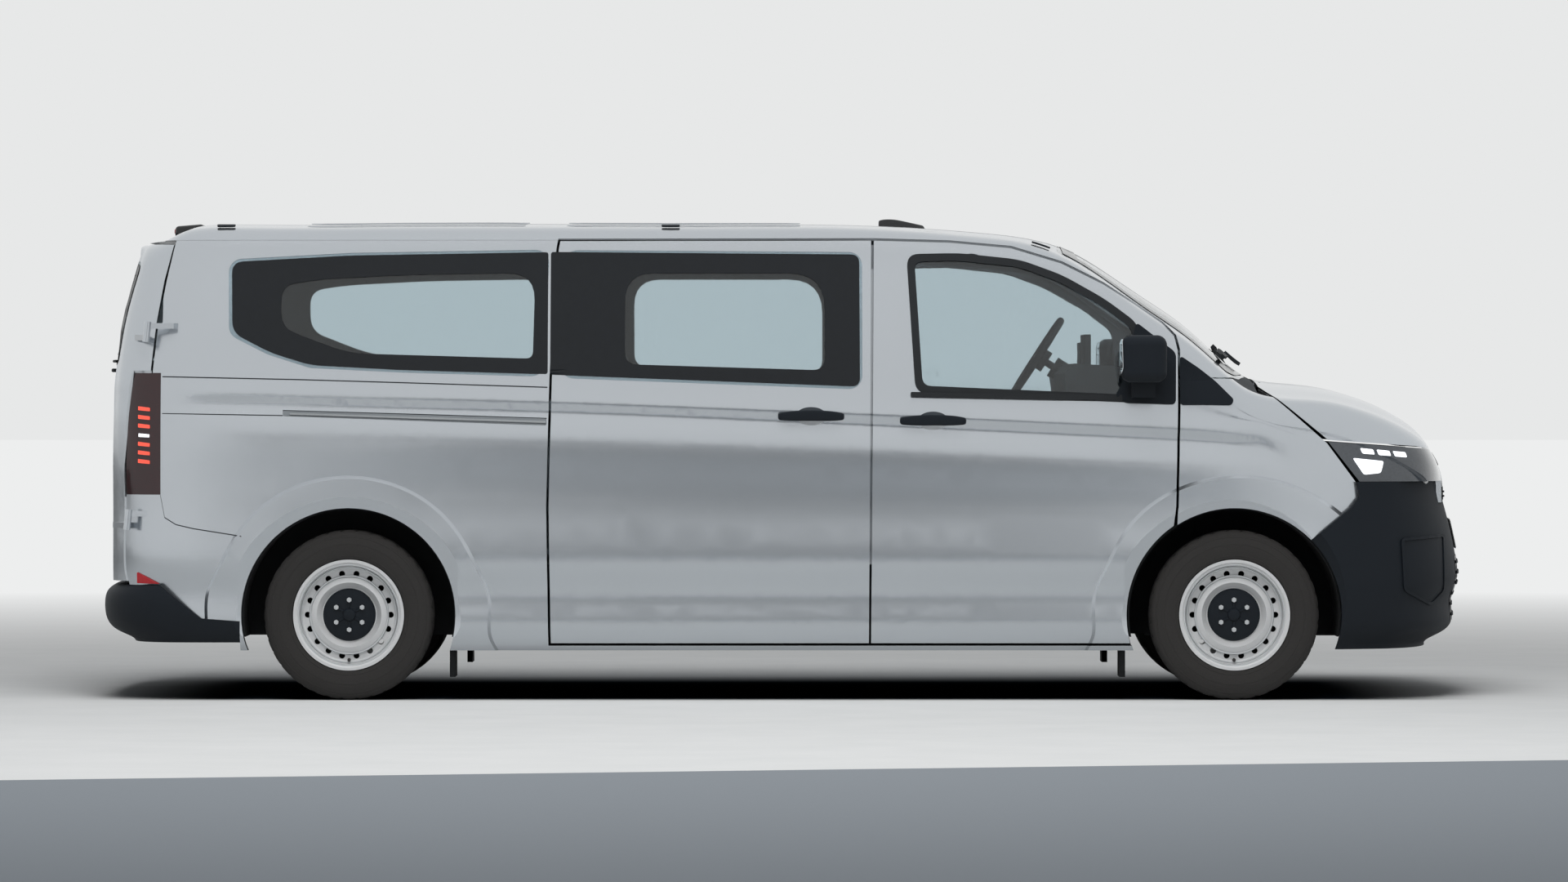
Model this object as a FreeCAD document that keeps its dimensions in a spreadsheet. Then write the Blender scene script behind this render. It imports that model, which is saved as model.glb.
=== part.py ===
import FreeCAD, Part
import math
import os
from FreeCAD import Vector

# A long minibus with one sliding side door, two rear wing doors and 18-hole steel wheels.
# Frame: +X forward, +Y to the vehicle's left, +Z up, origin on the ground under the middle of its box.

os.makedirs("parts", exist_ok=True)
doc = FreeCAD.newDocument("Minibus")

# Driving dimensions, in millimetres and degrees.
SIZES = {
    "wheelbase": 3500,
    "front_overhang": 950,
    "rear_overhang": 1010,
    "overall_width": 2032,
    "roof_height": 1900,
    "wall": 50,
    "fender_wall": 20,
    "door_flange": 12,
    "flange_inset": 18,
    "shut_gap": 10,
    "joint_gap": 0.8,
    "seat_gap": 0.3,
    "running_gap": 5,
    "glass_thickness": 5,
    "glass_lap": 22,
    "overrun": 40,
    "crease_depth": 8,
    "rear_lean": 105,
    "arch_radius": 423,
    "flare_step": 14,
    "flare_radius": 550,
    "flare_slope": 13,
    "arch_bevel": 47,
    "liner_wall": 6,
    "liner_edge": 45,
    "beam_slot": 85,
    "beam_clear": 336,
    "front_liner_inner": 556,
    "rear_liner_inner": 700,
    "tyre_radius": 336,
    "tyre_width": 215,
    "track_width": 1740,
    "rim_flange_radius": 219,
    "rim_half_width": 98,
    "hub_bore": 30,
    "wheel_hole_circle": 164,
    "wheel_hole_radius": 12,
    "wheel_hole_count": 18,
    "steer_axis_y": 750,
    "pin_radius": 10,
    "knuckle_boss_radius": 24,
    "knuckle_boss_height": 200,
    "floor_top": 535,
    "floor_plate": 35,
    "sill_bottom": 200,
    "sill_width": 25,
    "sill_inset": 85,
    "sill_lip": 17,
    "lip_inset": 112,
    "bulkhead_place": 1585,
    "bulkhead_plate": 15,
    "bumper_wall": 40,
    "lamp_wall": 30,
    "axle_tube": 35,
    "stub_plate": 25,
    "stub_plate_inner": 765,
    "stub_plate_radius": 90,
    "stub_reach": 31,
    "exhaust_pipe": 25,
    "bonnet_edge": 1893,
    "cowl_gap": 17,
    "hinge_setback": 75,
    "hinge_depth": 26,
    "hinge_tilt": 1.8,
    "hinge_height": 44,
    "hinge_pin": 5,
    "hinge_trim": 3,
    "hinge_arm": 16,
    "hinge_reach": 88,
    "bonnet_pin": 3.5,
    "bonnet_pin_ahead": 12,
    "bonnet_post": 7,
    "rear_hinge_pin": 6,
    "rear_door_sweep": 90,
    "rear_hinge_barrel": 14,
    "rear_hinge_height": 80,
    "steering_wheel_radius": 190,
    "steering_grip": 15,
    "steering_rake": 33,
}

sheet = doc.addObject("Spreadsheet::Sheet", "Sizes")
for row, (alias, value) in enumerate(SIZES.items(), 1):
    sheet.set(f"A{row}", alias)
    sheet.set(f"B{row}", str(value))
    sheet.setAlias(f"B{row}", alias)
doc.recompute()


def size(alias):
    return float(sheet.get(alias))


LENGTH = size("wheelbase") + size("front_overhang") + size("rear_overhang")
HEIGHT = size("roof_height")
HALF_WIDTH = size("overall_width") / 2 - size("flare_step")
FRONT_AXLE = LENGTH / 2 - size("front_overhang")
REAR_AXLE = FRONT_AXLE - size("wheelbase")
WHEEL_Y = size("track_width") / 2
AXLE_Z = size("tyre_radius")
WALL = size("wall")
GAP = size("shut_gap")
JOINT = size("joint_gap")
SEAT = size("seat_gap")
OVER = size("overrun")

nodes = {}


def along(share):
    return share * LENGTH


def up(share):
    return share * HEIGHT


def across(share):
    return share * HALF_WIDTH


def add(label, shape):
    """Keep a sub-part whose shape is worked out here as a feature of the document."""
    feature = doc.addObject("Part::Feature", label)
    feature.Label = label
    feature.Shape = shape
    nodes[label] = feature
    return feature


# The outer skin: tables are shares of length along X and of roof height up Z unless they say otherwise.
ROOF_LINE_SHARES = [
    (-0.568, 0.947), (-0.513, 0.954), (-0.4835, 0.963), (-0.4703, 0.9737), (-0.4643, 0.9832),
    (-0.4473, 0.9955), (-0.40, 0.9985), (-0.30, 0.9992), (-0.20, 0.9995), (-0.09, 0.9995), (0.0244, 0.9975),
    (0.0916, 0.9926), (0.1302, 0.9850), (0.1764, 0.9705), (0.2020, 0.9540), (0.2203, 0.9295),
    (0.2414, 0.8921), (0.2625, 0.8511), (0.2875, 0.8032), (0.3128, 0.7426), (0.3443, 0.6716),
    (0.3645, 0.6610), (0.3980, 0.6505), (0.4192, 0.6347), (0.4436, 0.6074), (0.4601, 0.5795),
    (0.4698, 0.5558), (0.4762, 0.5279), (0.4817, 0.5), (0.4853, 0.4684), (0.4868, 0.4342)]
# Half width of the plan outline, as shares of length and of half the overall width.
PLAN_LINE_SHARES = [
    (-0.568, 0.728), (-0.531, 0.733), (-0.5037, 0.743), (-0.4927, 0.758), (-0.4881, 0.787),
    (-0.4853, 0.832), (-0.4817, 0.876), (-0.4762, 0.915), (-0.4689, 0.947), (-0.4579, 0.972),
    (-0.4396, 0.990), (-0.4029, 0.998), (-0.3114, 1.0), (0, 1.0), (0.183, 1.0), (0.2848, 0.997),
    (0.348, 0.988), (0.3938, 0.9695), (0.4212, 0.942), (0.4432, 0.9006), (0.4579, 0.8514),
    (0.4689, 0.7825), (0.4771, 0.679), (0.4826, 0.541), (0.4857, 0.374), (0.4868, 0.226)]
CREASE_SHARES = [
    (-0.568, 0.628), (-0.4945, 0.628), (-0.417, 0.6253), (-0.1681, 0.6068), (0.0637, 0.5816),
    (0.2861, 0.5505), (0.3443, 0.5389), (0.3709, 0.51), (0.4212, 0.45), (0.4579, 0.41), (0.4762, 0.35), (0.4868, 0.28)]
# How far the side leans in at each height, as shares of the plan half width.
TUMBLE_SHARES = [
    (0, 0.89), (0.058, 0.892), (0.079, 0.90), (0.1, 0.935), (0.113, 0.952), (0.1316, 0.975),
    (0.1526, 0.985), (0.168, 0.984), (0.2, 0.982), (0.242, 0.987), (0.268, 0.999), (0.337, 1.0),
    (0.474, 1.0), (0.579, 0.995), (0.658, 0.98), (0.737, 0.955), (0.821, 0.922), (0.895, 0.888),
    (0.947, 0.862), (1.0, 0.83)]
CROWN_SHARES = [
    (-0.568, 0.0147), (0.0916, 0.0147), (0.1764, 0.019), (0.202, 0.029), (0.2203, 0.0395),
    (0.2625, 0.0463), (0.3128, 0.0463), (0.3443, 0.0368), (0.398, 0.0326), (0.4436, 0.0326),
    (0.4698, 0.029), (0.4762, 0.0263), (0.4835, 0.021), (0.4868, 0.0158)]
CORNER_SHARES = [
    (-0.568, 0.0526), (0.1465, 0.0553), (0.202, 0.0447), (0.238, 0.0379), (0.3128, 0.0379),
    (0.348, 0.0447), (0.4192, 0.0553), (0.4601, 0.0658), (0.4762, 0.0605), (0.4835, 0.0447),
    (0.4868, 0.0263)]
# The rear face leans forward with height: share of roof height, then of the lean.
LEAN_SHARES = [
    (0, 0), (0.526, 0), (0.658, 0.05), (0.763, 0.26), (0.847, 0.57), (0.933, 1.0), (0.969, 1.2), (1.03, 1.43)]
LEAN_FADE_SHARES = [
    (-0.568, 0), (-0.549, 0), (-0.531, 0.25), (-0.513, 0.75), (-0.5037, 1), (-0.4689, 1),
    (-0.4487, 0.8), (-0.4212, 0.35), (-0.3938, 0.05), (-0.3755, 0), (0.4868, 0)]
CREASE_FADE_SHARES = [(-0.568, 0), (-0.4542, 0), (-0.417, 1), (0.3114, 1), (0.3709, 0), (0.4868, 0)]
STATION_SHARES = [
    -0.568, -0.54, -0.513, -0.498, -0.4927, -0.4881, -0.4844, -0.4799, -0.4734, -0.4652, -0.4542,
    -0.4396, -0.412, -0.366, -0.275, -0.165, -0.037, 0.073, 0.1465, 0.183, 0.2106, 0.238, 0.2656,
    0.293, 0.3205, 0.3352, 0.3443, 0.3553, 0.3755, 0.399, 0.421, 0.44, 0.454, 0.465, 0.4734, 0.479,
    0.483, 0.4853]
LOW_LEVEL_SHARES = [0.0316, 0.058, 0.087, 0.113, 0.134, 0.158, 0.2, 0.242, 0.268]
THIRD_SHARES = [0.33, 0.67, 1.0]
CREASE_STEP_SHARES = [(-0.0316, 0), (-0.01, -1), (0, -0.5), (0.01, 0.25), (0.0316, 0)]
CORNER_ANGLES = [28, 54, 76]
CROWN_STEP_SHARES = [0.93, 0.7, 0.35]
NOSE_START_SHARE = 0.4212
NOSE_END_SHARE = 0.4853
REAR_FACE_SHARE = -0.4881
CURVE_SAMPLES = 400
SIDE_INNER_SHARE = 0.78


def sampled(points):
    """Points and tangents along a smooth curve through the given side-view points."""
    curve = Part.BSplineCurve()
    curve.interpolate([Vector(x, 0, z) for x, z in points])
    first = curve.FirstParameter
    span = curve.LastParameter - first
    steps = [first + span * i / CURVE_SAMPLES for i in range(CURVE_SAMPLES + 1)]
    return [(curve.value(step), curve.tangent(step)[0]) for step in steps]


def read(table, place):
    """Value of a table at a place, by straight lines between its rows."""
    upper = 1
    while upper < len(table) - 1 and table[upper][0] < place:
        upper += 1
    (x0, y0), (x1, y1) = table[upper - 1], table[upper]
    return y0 + (y1 - y0) * (place - x0) / (x1 - x0)


ROOF_CURVE = sampled([(along(x), up(z)) for x, z in ROOF_LINE_SHARES])
PLAN_CURVE = sampled([(along(x), across(w)) for x, w in PLAN_LINE_SHARES])


def inset_line(curve, inset):
    return [(point.x + way.z * inset, point.z - way.x * inset) for point, way in curve]


def lean_at(height):
    return size("rear_lean") * read(LEAN_SHARES, height / HEIGHT)


def half_section(place, inset, roof, plan):
    """Points from the sill up the right side to the roof's centre line at one place along the body."""
    share = place / LENGTH
    top = read(roof, place)
    half = read(plan, place)
    crown = up(read(CROWN_SHARES, share))
    radius = max(up(read(CORNER_SHARES, share)) - inset, 2 * size("door_flange"))
    shoulder = top - crown - radius
    crease = up(read(CREASE_SHARES, share))
    depth = size("crease_depth") * read(CREASE_FADE_SHARES, share)
    levels = [(up(level), 0) for level in LOW_LEVEL_SHARES]
    levels[0] = (levels[0][0] - inset, 0)
    low = up(LOW_LEVEL_SHARES[-1])
    below = crease + up(CREASE_STEP_SHARES[0][0])
    above = crease + up(CREASE_STEP_SHARES[-1][0])
    levels += [(low + (below - low) * part, 0) for part in THIRD_SHARES[:-1]]
    levels += [(crease + up(step), depth * part) for step, part in CREASE_STEP_SHARES]
    levels += [(above + (shoulder - above) * part, 0) for part in THIRD_SHARES]
    points = [(half * read(TUMBLE_SHARES, level / HEIGHT) + out, level) for level, out in levels]
    centre = points[-1][0] - radius
    for angle in CORNER_ANGLES:
        turn = math.radians(angle)
        points.append((centre + radius * math.cos(turn), shoulder + radius * math.sin(turn)))
    points += [(centre * part, top - crown * part * part) for part in CROWN_STEP_SHARES]
    points.append((0, top))
    fade = read(LEAN_FADE_SHARES, share)
    return [Vector(place + lean_at(level) * fade, -width, level) for width, level in points]


def shared_steps(lines):
    """Curve steps from 0 to 1 that suit a whole set of lines: the mean of their chord shares."""
    shares = []
    for line in lines:
        chords = [(after - before).Length for before, after in zip(line, line[1:])]
        shares.append([chord / sum(chords) for chord in chords])
    steps = [0.0]
    for column in zip(*shares):
        steps.append(steps[-1] + sum(column) / len(column))
    steps[-1] = 1.0
    return steps


def through(points, steps):
    curve = Part.BSplineCurve()
    curve.interpolate(Points=points, Parameters=steps)
    return curve


def smooth_surface(rows):
    """A smooth surface that passes exactly through a grid of points."""
    ring_steps = shared_steps(rows)
    line_steps = shared_steps(list(zip(*rows)))
    rings = [through(row, ring_steps) for row in rows]
    lines = [through(list(column), line_steps) for column in zip(*[ring.getPoles() for ring in rings])]
    poles = [list(row) for row in zip(*[line.getPoles() for line in lines])]
    surface = Part.BSplineSurface()
    surface.buildFromPolesMultsKnots(
        poles, lines[0].getMultiplicities(), rings[0].getMultiplicities(),
        lines[0].getKnots(), rings[0].getKnots(), False, False, lines[0].Degree, rings[0].Degree)
    return surface


def closed_solid(surface):
    """A solid from a trough-shaped surface, closed by flat faces at both ends and along its open side."""
    skin = surface.toShape()
    ends = []
    sides = []
    for edge in skin.Edges:
        run = edge.Vertexes[-1].Point - edge.Vertexes[0].Point
        (sides if abs(run.x) > abs(run.y) else ends).append(edge)
    chords = [Part.makeLine(edge.Vertexes[0].Point, edge.Vertexes[-1].Point) for edge in ends]
    caps = [Part.Face(Part.Wire([edge, chord])) for edge, chord in zip(ends, chords)]
    floor = Part.Face(Part.Wire(Part.__sortEdges__(sides + chords)))
    shell = Part.makeShell([skin, floor] + caps)
    shell.sewShape()
    solid = Part.Solid(shell)
    solid.fix(SEAT, SEAT, SEAT)
    return solid


SKINS = {}


def skin_solid(inset):
    """The whole body as a solid, with its surface moved in by the inset."""
    if inset in SKINS:
        return SKINS[inset]
    roof = inset_line(ROOF_CURVE, inset)
    plan = inset_line(PLAN_CURVE, inset)
    nose_start = along(NOSE_START_SHARE)
    nose_end = along(NOSE_END_SHARE)
    rows = []
    for share in STATION_SHARES:
        place = along(share)
        if place > nose_start:
            place -= inset * (place - nose_start) / (nose_end - nose_start)
        half = half_section(place, inset, roof, plan)
        rows.append(half + [Vector(p.x, -p.y, p.z) for p in reversed(half[:-1])])
    SKINS[inset] = closed_solid(smooth_surface(rows)).common(rear_cutter(inset)).Solids[0]
    return SKINS[inset]


def box(x0, x1, y0, y1, z0, z1):
    return Part.makeBox(x1 - x0, y1 - y0, z1 - z0, Vector(x0, y0, z0))


def rear_cutter(inset):
    """Everything ahead of the rear face, which leans forward with height under the roof's small lip."""
    base = along(REAR_FACE_SHARE) + inset
    heights = [0, 0.3, 0.42, 0.526, 0.6, 0.658, 0.71, 0.763, 0.847, 0.925]
    curve = Part.BSplineCurve()
    curve.interpolate([Vector(base + lean_at(up(share)), -LENGTH, up(share)) for share in heights])
    foot = curve.value(curve.FirstParameter)
    top = curve.value(curve.LastParameter)
    lip = along(-0.4703) + inset
    corners = [top, Vector(lip, -LENGTH, up(0.947)), Vector(lip, -LENGTH, 2 * HEIGHT),
               Vector(LENGTH, -LENGTH, 2 * HEIGHT), Vector(LENGTH, -LENGTH, foot.z), foot]
    wire = Part.Wire([curve.toShape(), Part.makePolygon(corners)])
    return Part.Face(wire).extrude(Vector(0, 2 * LENGTH, 0))


def side_prism(points, inner=None):
    """A right-hand prism through a side-view outline, from the inner distance outward."""
    start = across(SIDE_INNER_SHARE) if inner is None else inner
    ring = [Vector(x, -start, z) for x, z in points]
    return Part.Face(Part.makePolygon(ring + ring[:1])).extrude(Vector(0, -HALF_WIDTH, 0))


def middle_prism(points):
    """A prism through a side-view outline across the whole width."""
    ring = [Vector(x, -2 * HALF_WIDTH, z) for x, z in points]
    face = Part.Face(Part.makePolygon(ring + ring[:1]))
    return face.extrude(Vector(0, 4 * HALF_WIDTH, 0))


def mirrored(shape):
    return shape.mirror(Vector(0, 0, 0), Vector(0, 1, 0))


def cylinder(radius, length, start, way):
    return Part.makeCylinder(radius, length, start, way)


def outline(shares):
    return [(along(x), up(z)) for x, z in shares]


def grown(points, distance):
    """An outline moved outward (or inward, if negative) with its corners kept."""
    ring = Part.makePolygon([Vector(x, 0, z) for x, z in points + points[:1]])
    moved = ring.makeOffset2D(distance, 2)
    return [(vertex.Point.x, vertex.Point.z) for vertex in moved.OrderedVertexes]


def axle_cone(axle, inner, outer, inner_radius, outer_radius):
    """A right-hand cone about an axle, from one distance off the middle to another."""
    start = Vector(axle, -inner, AXLE_Z)
    return Part.makeCone(inner_radius, outer_radius, outer - inner, start, Vector(0, -1, 0))


def axle_drum(axle, inner, outer, radius):
    return cylinder(radius, outer - inner, Vector(axle, -inner, AXLE_Z), Vector(0, -1, 0))


def rounded(points, radius):
    """A right-hand prism of an outline with every upright corner rounded."""
    prism = side_prism(points)
    edges = [edge for edge in prism.Edges if edge.BoundBox.YLength > HALF_WIDTH / 2]
    return prism.makeFillet(radius, edges)


# The right-hand outer body with its two wheel-arch flares, cut by the arches.
STEP = size("flare_step")
FLARE_TAPER = size("flare_slope") / STEP
ARCH = size("arch_radius")
BEVEL_DEPTH = 2 * STEP
CENTRE_CLEAR = HALF_WIDTH / 2


def arch_cutter(axle, spare=0):
    """The wheel arch opening with its bevelled lip."""
    radius = ARCH + spare
    lip = HALF_WIDTH + STEP
    grow = size("arch_bevel") / BEVEL_DEPTH
    opening = axle_drum(axle, CENTRE_CLEAR, lip + OVER, radius)
    bevel = axle_cone(axle, lip - BEVEL_DEPTH, lip + OVER, radius, radius + (BEVEL_DEPTH + OVER) * grow)
    return opening.fuse(bevel)


ARCHES = arch_cutter(FRONT_AXLE).fuse(arch_cutter(REAR_AXLE))


def flare(axle):
    """The band around a wheel arch where the body steps outward."""
    inner = HALF_WIDTH - size("door_flange")
    outer = HALF_WIDTH + OVER
    wide = size("flare_radius") + (HALF_WIDTH - inner) * FLARE_TAPER
    narrow = size("flare_radius") - OVER * FLARE_TAPER
    return skin_solid(-STEP).common(axle_cone(axle, inner - WALL, outer, wide + WALL * FLARE_TAPER, narrow))


FLARES = [flare(axle) for axle in (FRONT_AXLE, REAR_AXLE)]


def skin_wall(inset):
    """The body wall from the outer skin down to the inset, with the right-hand flares."""
    core = skin_solid(inset)
    wall = skin_solid(0).cut(core)
    for band in FLARES:
        wall = wall.fuse(band.cut(core))
    return wall


SIDE_WALL = skin_wall(WALL)
GLASS_SKIN = skin_solid(0).cut(skin_solid(size("glass_thickness")))
BELOW_GLASS = skin_solid(size("glass_thickness") + SEAT)
BELOW_FLANGE = skin_solid(size("door_flange"))

# Shut lines and window outlines in side view.
FRONT_DOOR_SHARES = [
    (0.0652, 0.9563), (0.12, 0.9521), (0.1645, 0.9405), (0.2011, 0.9084), (0.2315, 0.8647),
    (0.254, 0.8237), (0.2742, 0.7832), (0.2824, 0.7568), (0.2848, 0.7274), (0.2848, 0.6053),
    (0.2833, 0.4032), (0.2813, 0.3526), (0.2546, 0.1184), (0.0630, 0.1184)]
FRONT_GLASS_SHARES = [
    (0.0894, 0.9258), (0.126, 0.9280), (0.1707, 0.9142), (0.2011, 0.8821), (0.2315, 0.8326),
    (0.2559, 0.7800), (0.2600, 0.6200), (0.0956, 0.6405)]
SLIDING_DOOR_SHARES = [
    (-0.1623, 0.9553), (0.0632, 0.9563), (0.0614, 0.1184), (-0.1687, 0.1184), (-0.1701, 0.4032),
    (-0.1678, 0.6689), (-0.1634, 0.9374)]
MIDDLE_GLASS_SHARES = [(-0.1592, 0.9363), (0.0566, 0.9321), (0.0566, 0.6458), (-0.1618, 0.6695)]
QUARTER_GLASS_SHARES = [
    (-0.4027, 0.9168), (-0.3143, 0.9305), (-0.1701, 0.9374), (-0.1735, 0.6726), (-0.2771, 0.6811),
    (-0.3427, 0.6905), (-0.3733, 0.7184), (-0.4016, 0.7595)]
SIDE_PANEL_SHARES = [
    (-0.4414, 0.9570), (-0.4478, 0.8732), (-0.4531, 0.7832), (-0.4568, 0.6847), (-0.4568, 0.6804),
    (-0.4508, 0.6804), (-0.4508, 0.4274), (-0.52, 0.4274), (-0.52, 0.2395), (-0.4511, 0.2395),
    (-0.4211, 0.1704), (-0.3934, 0.1646), (-0.3934, 0.1032), (0.2546, 0.1032), (0.2546, 0.1184),
    (0.0674, 0.1184), (0.0674, 0.9570)]
FENDER_SHARES = [
    (0.2845, 0.6705), (0.3285, 0.6675), (0.3438, 0.6570), (0.3927, 0.5342), (0.4145, 0.4505),
    (0.4157, 0.4221), (0.4098, 0.4), (0.3804, 0.3321), (0.3663, 0.25), (0.2845, 0.25)]
GLASS_CORNER_SHARE = 0.0168


def opening(points, radius):
    """What a window takes out of a panel: the daylight opening and the rebate its glass lies in."""
    daylight = rounded(grown(points, -size("glass_lap")), radius)
    rebate = rounded(grown(points, SEAT), radius + size("glass_lap")).cut(BELOW_GLASS)
    return daylight.fuse(rebate)


def pane(points, radius):
    return GLASS_SKIN.common(rounded(points, radius + size("glass_lap")))


CORNER = up(GLASS_CORNER_SHARE)


def side_door(shares, window_shares):
    """A door with a thin outer flange all round and its full thickness inside that."""
    points = outline(shares)
    whole = side_prism(points)
    middle = side_prism(grown(points, -size("flange_inset")))
    door = SIDE_WALL.common(whole).cut(BELOW_FLANGE.common(whole.cut(middle)))
    window = outline(window_shares)
    return door.cut(opening(window, CORNER)), pane(window, CORNER)


front_door, front_glass = side_door(FRONT_DOOR_SHARES, FRONT_GLASS_SHARES)
front_door = front_door.cut(arch_cutter(FRONT_AXLE, size("running_gap")))
sliding_door, sliding_glass = side_door(SLIDING_DOOR_SHARES, MIDDLE_GLASS_SHARES)
FRONT_DOOR_SPACE = side_prism(grown(outline(FRONT_DOOR_SHARES), GAP))
SLIDING_DOOR_SPACE = side_prism(grown(outline(SLIDING_DOOR_SHARES), GAP))

side = SIDE_WALL.common(side_prism(outline(SIDE_PANEL_SHARES))).cut(FRONT_DOOR_SPACE).cut(ARCHES)
LAMP_INNER = across(0.9132)
REAR_DOOR_EDGE = LAMP_INNER - GAP
side = side.cut(box(-LENGTH, along(-0.45), -LAMP_INNER, 0, 0, HEIGHT))
quarter_window = outline(QUARTER_GLASS_SHARES)
side = side.cut(opening(quarter_window, CORNER))
quarter_glass = pane(quarter_window, CORNER)
middle_window = outline(MIDDLE_GLASS_SHARES)
left_side = mirrored(side.cut(opening(middle_window, CORNER)))
right_side = side.cut(SLIDING_DOOR_SPACE)
FENDER_CORE = skin_solid(size("fender_wall"))
fender_prism = side_prism(outline(FENDER_SHARES)).cut(box(0, LENGTH, -across(0.888), 0, 0, HEIGHT))
fender = skin_solid(0).common(fender_prism).fuse(FLARES[0].common(fender_prism)).cut(FENDER_CORE)
fender = fender.cut(FRONT_DOOR_SPACE).cut(ARCHES)


# Roof with the screen pillars, the windscreen, the bonnet and the black cowl between them.
ROOF_SHARES = [
    (-0.52, 0.9575), (0.0652, 0.9575), (0.12, 0.9521), (0.1645, 0.9405), (0.2011, 0.9084),
    (0.2315, 0.8647), (0.254, 0.8237), (0.2742, 0.7832), (0.2824, 0.7568), (0.2848, 0.7274),
    (0.2848, 0.671), (0.3266, 0.671), (0.3266, 1.1), (-0.52, 1.1)]
BONNET_SHARES = [
    (0.3467, 0.75), (0.3467, 0.652), (0.3936, 0.541), (0.4593, 0.5279), (0.468, 0.523), (0.5036, 0.523),
    (0.5036, 0.75)]
# Half of the windscreen's outline in plan, as shares of length and half width.
SCREEN_SHARES = [(0.3418, 0), (0.3388, 0.4), (0.3319, 0.7), (0.3251, 0.833), (0.1992, 0.70), (0.2011, 0.4), (0.2029, 0)]


def plan_prism(points):
    """An upright prism through a symmetric plan outline given for one half."""
    ring = [Vector(x, -y, 0) for x, y in points]
    ring += [Vector(x, y, 0) for x, y in reversed(points) if y > 0]
    face = Part.Face(Part.makePolygon(ring + ring[:1]))
    return face.extrude(Vector(0, 0, 2 * HEIGHT))


screen = [(along(x), across(y)) for x, y in SCREEN_SHARES]
screen_prism = plan_prism(screen)
upper_space = box(along(0.19), along(0.36), -HALF_WIDTH, HALF_WIDTH, up(0.6), 2 * HEIGHT)
windscreen = GLASS_SKIN.common(screen_prism).common(upper_space)
screen_hole = plan_prism([(x, max(y - size("glass_lap"), 0)) for x, y in screen])
screen_hole = screen_hole.common(box(screen[-3][0] + size("glass_lap"), along(0.36), -HALF_WIDTH, HALF_WIDTH, up(0.6), 2 * HEIGHT))
screen_seat = plan_prism([(x + (SEAT if x > along(0.3) else -SEAT), y + SEAT if y else 0) for x, y in screen])
screen_seat = screen_seat.common(upper_space).cut(BELOW_GLASS)
FULL_WALL = skin_solid(0).cut(skin_solid(WALL))
roof = FULL_WALL.common(middle_prism(outline(ROOF_SHARES)))
roof = roof.cut(screen_hole).cut(screen_seat)
for space in (FRONT_DOOR_SPACE, SLIDING_DOOR_SPACE):
    roof = roof.cut(space).cut(mirrored(space))
bonnet = skin_solid(0).common(middle_prism(outline(BONNET_SHARES))).cut(FENDER_CORE)
COWL_REAR = along(0.3266) + JOINT
COWL_FRONT = size("bonnet_edge") - size("cowl_gap")
FENDER_INNER = across(0.888)
cowl = skin_solid(0).common(box(COWL_REAR, COWL_FRONT, -FENDER_INNER + JOINT, FENDER_INNER - JOINT, up(0.6), HEIGHT)).cut(FENDER_CORE)
cowl = cowl.cut(screen_seat).cut(screen_hole)

# Rear doors: each wraps round its corner above the tail lamp and hangs on two outside hinges.
REAR_DOOR_SHARES = [
    (-0.4430, 0.9480), (-0.4495, 0.8732), (-0.4548, 0.7832), (-0.4584, 0.6847), (-0.4584, 0.2474),
    (-0.52, 0.2474), (-0.52, 0.9505), (-0.4703, 0.9505)]
REAR_GLASS_SHARES = [(0.10, 0.9140), (0.745, 0.9140), (0.79, 0.6900), (0.10, 0.6900)]
LAMP_TOP_SHARE = 0.6800
LAMP_BASE_SHARE = 0.4278
rear_right = FULL_WALL.common(side_prism(outline(REAR_DOOR_SHARES), GAP / 2))
low_corner = box(-LENGTH, 0, -LENGTH, -REAR_DOOR_EDGE, 0, up(0.6847))
rear_right = rear_right.cut(low_corner)


def rear_prism(points, radius):
    """A prism along X through a rear-view outline on the right-hand side."""
    ring = [Vector(-LENGTH, -y, z) for y, z in points]
    prism = Part.Face(Part.makePolygon(ring + ring[:1])).extrude(Vector(LENGTH, 0, 0))
    edges = [edge for edge in prism.Edges if edge.BoundBox.XLength > HALF_WIDTH]
    return prism.makeFillet(radius, edges)


rear_window = [(across(y), up(z)) for y, z in REAR_GLASS_SHARES]
lap = size("glass_lap")
daylight = [
    (rear_window[0][0] + lap, rear_window[0][1] - lap), (rear_window[1][0] - lap, rear_window[1][1] - lap),
    (rear_window[2][0] - lap, rear_window[2][1] + lap), (rear_window[3][0] + lap, rear_window[3][1] + lap)]
rear_pane = rear_prism(rear_window, CORNER + lap)
rear_right = rear_right.cut(rear_prism(daylight, CORNER)).cut(rear_pane.cut(BELOW_GLASS))
rear_glass = GLASS_SKIN.common(rear_pane)
TAIL_LAMP_SHARES = [(-0.4510, LAMP_TOP_SHARE), (-0.52, LAMP_TOP_SHARE), (-0.52, LAMP_BASE_SHARE), (-0.4510, LAMP_BASE_SHARE)]
LAMP_CORE = skin_solid(size("lamp_wall"))
tail_lamp = skin_solid(0).common(side_prism(outline(TAIL_LAMP_SHARES), LAMP_INNER)).cut(LAMP_CORE)

# Nose: headlamps that wrap round the corners and the grille panel between them.
HEADLAMP_SHARES = [(0.3936, 0.5374), (0.4166, 0.4543), (0.5036, 0.4543), (0.5036, 0.5147), (0.4593, 0.5240)]
LAMP_SPLIT = across(0.574)
headlamp = skin_solid(0).common(side_prism(outline(HEADLAMP_SHARES), LAMP_SPLIT + JOINT)).cut(LAMP_CORE)
BUMPER_TOP_SHARE = 0.4537
GRILLE_BASE_SHARE = 0.4084
grille = skin_solid(0).common(box(along(0.44), LENGTH, -LAMP_SPLIT, LAMP_SPLIT, up(GRILLE_BASE_SHARE), up(0.5188))).cut(FENDER_CORE)

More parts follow.
